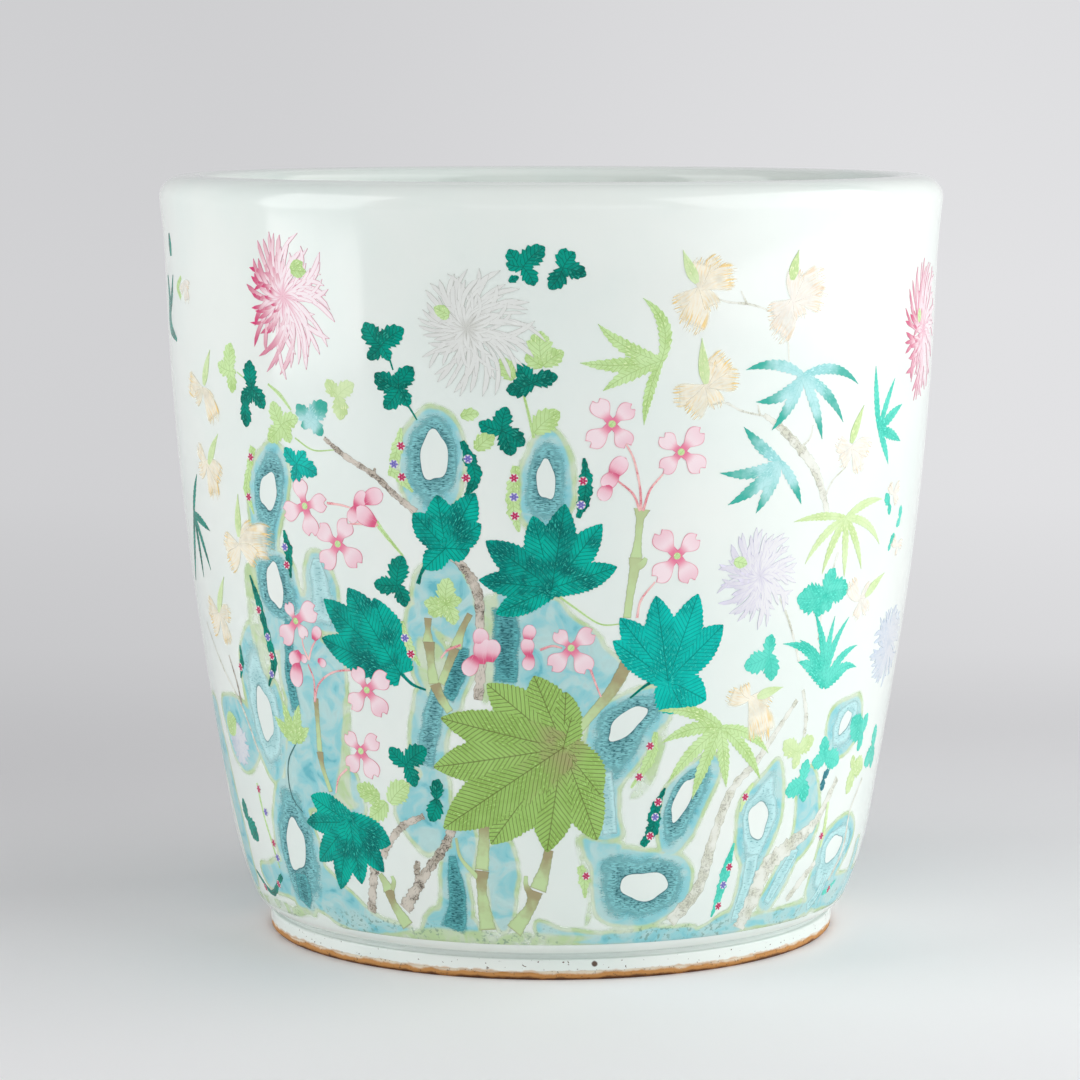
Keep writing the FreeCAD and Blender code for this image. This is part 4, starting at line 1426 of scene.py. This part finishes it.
# Rocks: the paint, the hole's middle, half-width, half-height and lean in degrees, and the halo's outline.
HOLED = {
    "rock_left_tall": (
        "rock", (434, 456, 14, 25, 0),
        [
            (432, 410), (447, 417), (456, 432), (459, 455), (458, 478), (453, 498), (440, 510), (425, 514),
            (412, 502), (404, 480), (403, 455), (407, 434), (418, 418),
        ],
    ),
    "rock_middle_tall": (
        "rock", (546, 480, 9.5, 20, 4),
        [
            (552, 435), (563, 446), (568, 465), (569, 490), (564, 508), (553, 524), (538, 528), (525, 517),
            (522, 495), (524, 472), (532, 451), (541, 440),
        ],
    ),
    "rock_left_high": (
        "rock", (268.5, 491, 8.5, 18.5, 0),
        [
            (271, 444), (281, 455), (286, 475), (285, 500), (280, 518), (276, 540), (276, 556), (268, 560),
            (262, 545), (257, 525), (254, 500), (254, 475), (260, 455),
        ],
    ),
    "rock_left_second": (
        "rock", (275, 585, 7.5, 23, 10),
        [
            (260, 556), (280, 553), (290, 566), (296, 585), (300, 605), (295, 621), (280, 624), (267, 612),
            (259, 595), (255, 575),
        ],
    ),
    "rock_left_third": (
        "rock_pale", (265, 714, 7, 27, 11),
        [
            (250, 628), (258, 642), (263, 665), (271, 680), (278, 695), (283, 720), (284, 750), (281, 772),
            (273, 776), (263, 755), (254, 730), (248, 700), (244, 670), (243, 645),
        ],
    ),
    "rock_left_foot": (
        "rock", (296, 845, 9, 26, 8),
        [
            (282, 782), (298, 788), (307, 810), (315, 835), (322, 865), (325, 890), (316, 905), (300, 905),
            (291, 885), (282, 855), (276, 825), (276, 800),
        ],
    ),
    "rock_tilted": (
        "rock", (627, 723, 10, 24, -48),
        [
            (656, 690), (666, 700), (662, 718), (650, 738), (637, 758), (624, 778), (612, 788), (599, 777),
            (591, 758), (590, 735), (598, 714), (616, 701), (638, 692),
        ],
    ),
    "rock_foot_wide": (
        "rock", (644, 886, 24, 14, 5),
        [
            (601, 855), (623, 851), (642, 853), (663, 856), (682, 861), (689, 876), (680, 903), (660, 915),
            (640, 923), (619, 922), (602, 914), (596, 890), (597, 870),
        ],
    ),
    "rock_right_tilted": (
        "rock", (683, 799, 7.5, 24, -26),
        [
            (713, 760), (716, 775), (707, 797), (696, 818), (685, 838), (675, 850), (663, 848), (661, 825),
            (666, 799), (679, 778), (696, 764),
        ],
    ),
    "rock_right": (
        "rock_pale", (758, 820, 9.5, 19, -8),
        [
            (778, 763), (779, 790), (779, 815), (772, 836), (765, 852), (754, 870), (744, 866), (740, 845),
            (740, 822), (744, 803), (755, 788), (766, 776),
        ],
    ),
    "rock_right_small": (
        "rock_pale", (833, 848, 6, 15, -26),
        [
            (847, 819), (852, 830), (847, 850), (837, 868), (828, 886), (815, 902), (809, 892), (815, 866),
            (822, 843), (834, 827),
        ],
    ),
    "rock_right_high": (
        "rock_pale", (845, 722, 4, 13, -24),
        [(858, 698), (858, 725), (847, 748), (834, 754), (829, 732), (836, 710)],
    ),
}
# Rocks with no hole: the paint, the middle line and its half-widths.
SOLID = {
    "block_left": ("rock_pale", [(316, 556), (318, 575), (322, 600), (322, 628)], (4, 13, 18, 15)),
    "column_left": ("rock_dark", [(288, 614), (289, 650), (291, 680), (297, 716)], (6, 9, 9, 9)),
    "block_middle": ("rock_dark", [(505, 606), (506, 640), (505, 684)], (15, 15, 13)),
    "block_middle_left": ("rock_dark", [(465, 646), (457, 672), (447, 702)], (6, 12, 7)),
    "block_low_left": ("rock", [(440, 688), (432, 720), (424, 768)], (9, 14, 12)),
    "spire_foot": ("rock_dark", [(452, 854), (455, 880), (457, 905), (453, 932)], (4, 11, 13, 17)),
    "column_tilted": ("rock_pale", [(604, 770), (607, 800), (610, 836)], (10, 9, 9)),
    "column_foot": ("rock_pale", [(753, 852), (747, 882), (733, 924)], (11, 10, 7)),
    "band_right": ("rock_pale", [(797, 846), (781, 876), (764, 906)], (6, 10, 7)),
    "band_far": ("rock_pale", [(826, 872), (818, 892), (806, 908)], (6, 8, 6)),
    "band_edge": ("rock_pale", [(857, 842), (849, 870), (838, 897)], (4, 6, 5)),
    "hatch_foot": ("rock_dark", [(300, 872), (304, 888), (305, 905)], (13, 17, 11)),
}
# The turquoise washes' outlines, which the green edge runs round.
POOLS = [
    [
        (298, 598), (312, 606), (322, 640), (342, 655), (343, 700), (341, 740), (340, 778), (330, 800),
        (318, 806), (300, 812), (288, 802), (286, 775), (288, 745), (292, 715), (284, 690), (280, 655),
        (284, 625),
    ],
    [
        (262, 866), (278, 862), (318, 850), (322, 864), (345, 888), (366, 910), (384, 922), (410, 930),
        (380, 934), (345, 924), (318, 908), (290, 896), (270, 884),
    ],
    [
        (420, 573), (436, 562), (452, 556), (463, 575), (474, 600), (478, 640), (470, 662), (458, 642),
        (444, 634), (428, 622), (414, 600),
    ],
    [
        (543, 603), (558, 600), (572, 620), (590, 634), (604, 650), (622, 666), (620, 685), (606, 700),
        (600, 716), (586, 724), (568, 700), (546, 690), (530, 690), (518, 696), (512, 670), (516, 650),
        (518, 625),
    ],
    [(410, 608), (422, 612), (438, 640), (446, 665), (438, 690), (424, 690), (414, 660), (408, 634)],
    [
        (402, 792), (418, 780), (432, 768), (446, 775), (450, 800), (452, 826), (442, 842), (428, 852),
        (412, 838), (400, 820), (396, 806),
    ],
    [(420, 690), (446, 690), (446, 730), (440, 770), (424, 776), (414, 750), (414, 716)],
    [(456, 826), (470, 822), (475, 845), (471, 870), (462, 870), (454, 850)],
    [(490, 845), (510, 842), (516, 870), (514, 905), (505, 930), (494, 918), (488, 880)],
    [(436, 912), (470, 918), (478, 936), (452, 942), (426, 940), (424, 930)],
    [(582, 840), (600, 843), (622, 846), (612, 862), (600, 872), (588, 858)],
    [
        (538, 924), (560, 930), (598, 934), (640, 932), (690, 928), (690, 938), (640, 944), (580, 944),
        (545, 938),
    ],
    [(674, 932), (700, 930), (722, 916), (746, 912), (742, 928), (720, 938), (690, 944)],
    [(744, 918), (780, 910), (808, 902), (802, 914), (770, 924), (746, 928)],
    [(800, 784), (812, 768), (818, 800), (815, 830), (800, 856), (790, 850), (796, 825)],
    [(808, 888), (822, 876), (840, 876), (856, 862), (854, 880), (838, 898), (812, 908)],
    [(223, 698), (256, 714), (259, 752), (246, 770), (231, 742)],
    [(336, 768), (352, 772), (362, 808), (352, 820), (340, 802)],
    [(498, 596), (514, 606), (524, 640), (522, 684), (512, 696), (500, 660)],
    [(252, 470), (262, 500), (266, 540), (258, 560), (252, 530), (249, 500)],
    [(262, 612), (286, 612), (290, 640), (276, 650), (264, 632)],
    [
        (216, 700), (226, 745), (236, 790), (247, 835), (258, 880), (255, 882), (243, 842), (232, 796),
        (222, 752), (213, 702),
    ],
]
# The green parts' outlines.
GREENS = [
    [(342, 700), (352, 705), (352, 790), (360, 805), (345, 812), (335, 790), (342, 740)],
    [(482, 596), (500, 600), (496, 640), (494, 692), (486, 706), (478, 692), (484, 640)],
    [(416, 636), (442, 646), (452, 690), (446, 708), (430, 702), (418, 672)],
    [(248, 880), (284, 900), (320, 912), (300, 918), (262, 904)],
    [(382, 934), (430, 926), (500, 930), (560, 932), (600, 936), (560, 948), (470, 948), (410, 942)],
    [(244, 566), (256, 566), (262, 600), (270, 640), (276, 680), (268, 690), (256, 660), (248, 620)],
    [(574, 838), (584, 838), (588, 862), (594, 890), (592, 920), (584, 926), (586, 896), (578, 868)],
    [(660, 724), (668, 740), (650, 790), (628, 800), (640, 768)],
]
BROAD_FORM = {"base": 0.72, "point": 0.74, "tooth": 0.14, "rows": 64}
MAPLE_FORM = {"belly": 0.4, "base": 0.55, "point": 0.9, "tooth": 0.3, "teeth": 3.2, "rows": 48}


def ellipse(middle_x, middle_y, half_width, half_height, lean):
    """A hole's edge in photograph pixels, its foot swung right by so many degrees, a little rough."""
    angle = np.linspace(0, 2 * math.pi, 20, endpoint=False)
    rough = 1 + 0.07 * np.sin(3 * angle + middle_x) + 0.05 * np.sin(5 * angle + middle_y)
    across, up = half_width * np.cos(angle) * rough, half_height * np.sin(angle) * rough
    cosine, sine = math.cos(-math.radians(lean)), math.sin(-math.radians(lean))
    return np.column_stack([middle_x + across * cosine - up * sine, middle_y + across * sine + up * cosine])


def sheet_widths(pixels):
    return np.asarray(pixels, float) * PIXEL


def paint_garden():
    """Lays every motif of the photographed side, or of its continuation round the far side."""
    PIECES.clear()
    holes = {name: seen(ellipse(*row[1])) for name, row in HOLED.items()}
    rings = {name: seen(row[2]) for name, row in HOLED.items()}
    blocks = [band_outline(seen(line), sheet_widths(widths)) for _, line, widths in SOLID.values()]
    pools, greens = ([seen(outline) for outline in outlines] for outlines in (POOLS, GREENS))
    name = "ground_wash_behind" if BEHIND[0] else "ground_wash"
    ground_skin(name, pools, [*rings.values(), *blocks], greens, list(holes.values()))
    for name, (paint, _, _) in HOLED.items():
        halo = patch(rings[name], holes[name].mean(0), holes[name], rows=10, around=96)
        Enamel(name).add(paint, halo, ROCK, ring=True).fire()
    for name, (paint, line, widths) in SOLID.items():
        solid_rock(name, paint, seen(line), sheet_widths(widths))
    for paint, line, widths in STEMS:
        points = seen(line)
        stem(gathered("stems", points.mean(0)), paint, points, sheet_widths(widths))
    for line in PINK_STEMS:
        points = seen(line)
        widths = sheet_widths((1.3, 0.9))
        stem(gathered("blossoms", points.mean(0)), "pink_stem", points, widths, STEM + 0.02, rows=16)
    for paint, line, widths, stars in PODS:
        points = seen(line)
        spots = [(seen(at)[0], star) for at, star in stars]
        pod(gathered("leaves", points.mean(0)), paint, points, sheet_widths(widths), spots)
    for name, (paint, hub, tips, widths) in BROAD.items():
        leaf = Enamel(name)
        add_lobes(leaf, paint, seen(hub)[0], seen(tips), sheet_widths(widths), **BROAD_FORM)
        leaf.fire()
    for name, (paint, hub, tips, widths, bend) in MAPLES.items():
        leaf = Enamel(name)
        add_lobes(leaf, paint, seen(hub)[0], seen(tips), sheet_widths(widths), bend=bend, **MAPLE_FORM)
        leaf.fire()
    for paint, hub, tips in IVY:
        middle = seen(hub)[0]
        ivy(gathered("leaves", middle), paint, middle, seen(tips))
    for name, (paint, base, tips, calyx) in FEATHERS.items():
        feather(name, paint, seen(base)[0], seen(tips), calyx and seen(calyx))
    for petals in BUDS:
        points = seen(petals)
        buds(gathered("blossoms", points.mean(0)), points)
    for number, (heart, *middles) in enumerate(BEGONIAS):
        centre = seen(heart)[0]
        begonia(gathered("blossoms", centre), number, centre, seen(middles))
    for name, (paint, centre, reaches, flush, leaf) in MUMS.items():
        mum(name, paint, seen(centre)[0], reaches, flush, leaf and seen(leaf))
    for piece in PIECES.values():
        piece.fire()


for side in (False, True):
    BEHIND[0] = side
    paint_garden()

# ---------------------------------------------------------------- glaze and clay

OUTSIDE_ROWS = len(section_points(GLAZED_SECTION, 0, WALL_END))
WANDER_TOP = 8.0  # the wiped edge's wandering has died out at this height


def shift_glaze(turn, grid):
    """The outside follows the uneven wall, and the coat's lower edge wanders where it was wiped."""
    radius, height = grid[..., 0], grid[..., 1]
    outside = (np.arange(len(grid)) < OUTSIDE_ROWS)[:, None]
    wander = 0.5 * np.sin(7 * turn) + 0.35 * np.sin(19 * turn + 1) + 0.3 * np.sin(43 * turn + 2)
    low = np.clip((WANDER_TOP - height) / (WANDER_TOP - BARE_LINE), 0, 1) * outside
    return np.stack([radius - uneven(turn, height) * outside, height + low * wander * 0.6], -1)


def shift_clay(turn, grid):
    """Turning ridges under the base, which lies a hair lower for them."""
    radius, height = grid[..., 0], grid[..., 1]
    base = height > BASE_RISE - 0.1
    ridges = 0.12 * np.sin(radius * 1.1 + 0.5 * np.sin(turn))
    return np.stack([radius, height + ridges * base - 0.15 * base], -1)


coat = turned_surface("glazed_coat", section_points(GLAZED_SECTION), glaze_material(), shift_glaze)
finished("glazed_coat", coat, "outer_glaze", "inner_glaze", slot="glaze")
clay = turned_surface("bare_foot", section_points(BARE_SECTION), bare_clay_material(), shift_clay)
finished("bare_foot", clay, "foot_ring", "base_slab", slot="bare_foot")
body = body_material()
for node in ("lower_wall", "luting_seam", "upper_wall", "rim_roll"):
    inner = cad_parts[node]
    inner.data.materials.clear()
    inner.data.materials.append(body)

# ---------------------------------------------------------------- floor, backdrop, light and camera, in metres

SWEEP_START, SWEEP_RADIUS = 2.4, 1.0
PAPER_REACH, PAPER_END = 6.0, 6.5
RAMP_LENGTH = 4.0
# The paper's painted light and shade, as greys on its two sides by the distance along it behind the pot's axis:
# darker on the left and where the floor turns up.
PAPER_PAINTED_LIGHT = {
    "left": ((0.0, 178), (0.35, 182), (0.6, 191), (1.0, 199), (2.1, 208), (3.0, 210), (4.0, 204)),
    "right": ((0.0, 214), (0.35, 208), (0.6, 207), (1.0, 218), (2.1, 225), (3.0, 226), (4.0, 218)),
}


def stage_material():
    """Pale studio paper. Behind the pot the camera and the reflections see it glow with its own soft run of greys,
    painted light and shade that is darker on the left and where the floor turns up; near the pot it is lit, so that
    the pot's shadow lies on it, and its colour there is painted a little darker on the left as painted shade."""
    material, tree = fresh("studio_paper")
    across, along, _ = split(uv(tree, "run"))
    painted_greys = []
    for shades in PAPER_PAINTED_LIGHT.values():
        ramp = put(tree, "ValToRGB", {0: along / RAMP_LENGTH})
        while len(ramp.color_ramp.elements) < len(shades):
            ramp.color_ramp.elements.new(0.5)
        for element, (away, grey) in zip(ramp.color_ramp.elements, shades):
            element.position, element.color = away / RAMP_LENGTH, linear(grey, grey, grey + 2)
        painted_greys.append(Amount(ramp.outputs[0]))
    # Painted shade: the lit paper is a little darker on the left.
    near = tinted(eased(across, -0.4, 0.4), (237, 236, 237), (248, 248, 249))
    shade(material, Base_Color=near, Roughness=0.75)
    far = tinted(eased(across, -0.55, 0.55), *painted_greys)
    # Painted light: the far paper glows with the painted greys for camera and reflected rays instead of being lit.
    painted_glow = amount(tree, "Emission", {"Color": far, "Strength": 1.0})
    rays = (amount(tree, "LightPath", output=f"Is {kind} Ray") for kind in ("Camera", "Glossy"))
    share = larger(*rays) * eased(along, 0.2, 0.8)
    lit = Amount(tree.nodes["Principled BSDF"].outputs[0])
    mixed = amount(tree, "MixShader", {0: share, 1: lit, 2: painted_glow})
    connect(tree.nodes["Material Output"], {"Surface": mixed})
    return material


def studio_paper():
    """A sweep of paper: flat floor, a quarter circle up and a straight wall, with a map in metres of the place
    across and the run along."""
    floor = np.linspace(-PAPER_REACH, SWEEP_START, 40)
    along = np.concatenate([floor, SWEEP_START + np.linspace(0.02, 1.57, 30), [PAPER_END]])
    angle = np.clip((along - SWEEP_START) / SWEEP_RADIUS, 0, math.pi / 2)
    rise = SWEEP_RADIUS * (1 - np.cos(angle)) + np.clip(along - SWEEP_START - math.pi / 2 * SWEEP_RADIUS, 0, None)
    back = np.minimum(along, SWEEP_START) + SWEEP_RADIUS * np.sin(angle)
    wide, deep = np.meshgrid(np.linspace(-PAPER_REACH, PAPER_REACH, 13), back)
    rise, run = (np.broadcast_to(each[:, None], wide.shape) for each in (rise, along))
    points = np.stack([wide, deep, rise], -1).reshape(-1, 3)
    faces = quads(np.arange(len(points)).reshape(wide.shape)).tolist()
    mesh = smooth_mesh("studio_paper", points, faces, stage_material())
    map_points(mesh, "run", np.stack([wide, run], -1).reshape(-1, 2))
    return in_scene("studio_paper", mesh)


studio_paper()

# Large rectangular lamps: where each stands, the point that it faces, its size and its power.
SOFTBOXES = {
    "softbox_right": ((1.68, -0.42, 0.95), (0, 0, 0.2), (2.7, 2.0), 36),
    "softbox_left": ((-1.34, -0.5, 0.75), (0, 0, 0.25), (0.95, 1.5), 12),
    "softbox_top": ((0.1, -0.7, 2.4), (0, 0, 0.2), (2.0, 1.6), 1),
    "softbox_front": ((0.15, -2.4, 0.55), (0, 0, 0.1), (2.4, 0.7), 6.3),
}
for name, (stand, aim, size, power) in SOFTBOXES.items():
    lamp = bpy.data.lights.new(name, "AREA")
    lamp.shape = "RECTANGLE"
    lamp.size, lamp.size_y = size
    lamp.energy = power
    softbox = in_scene(name, lamp)
    softbox.location = stand
    softbox.rotation_euler = (Vector(aim) - Vector(stand)).to_track_quat("-Z", "Y").to_euler()

world = bpy.data.worlds.new("studio")
bpy.context.scene.world = world
world.use_nodes = True
world.node_tree.nodes["Background"].inputs[0].default_value = (0.96, 0.97, 1.0, 1.0)
world.node_tree.nodes["Background"].inputs[1].default_value = 0.3

lens = bpy.data.cameras.new("photo_camera")
lens.sensor_width = SENSOR
lens.lens = FOCAL_PX / PHOTO * SENSOR
camera = in_scene("photo_camera", lens)
camera.location = EYE * MM
camera.rotation_euler = (math.pi / 2 - PITCH, 0, PAN)
bpy.context.scene.camera = camera
bpy.context.scene.view_settings.view_transform = "Standard"
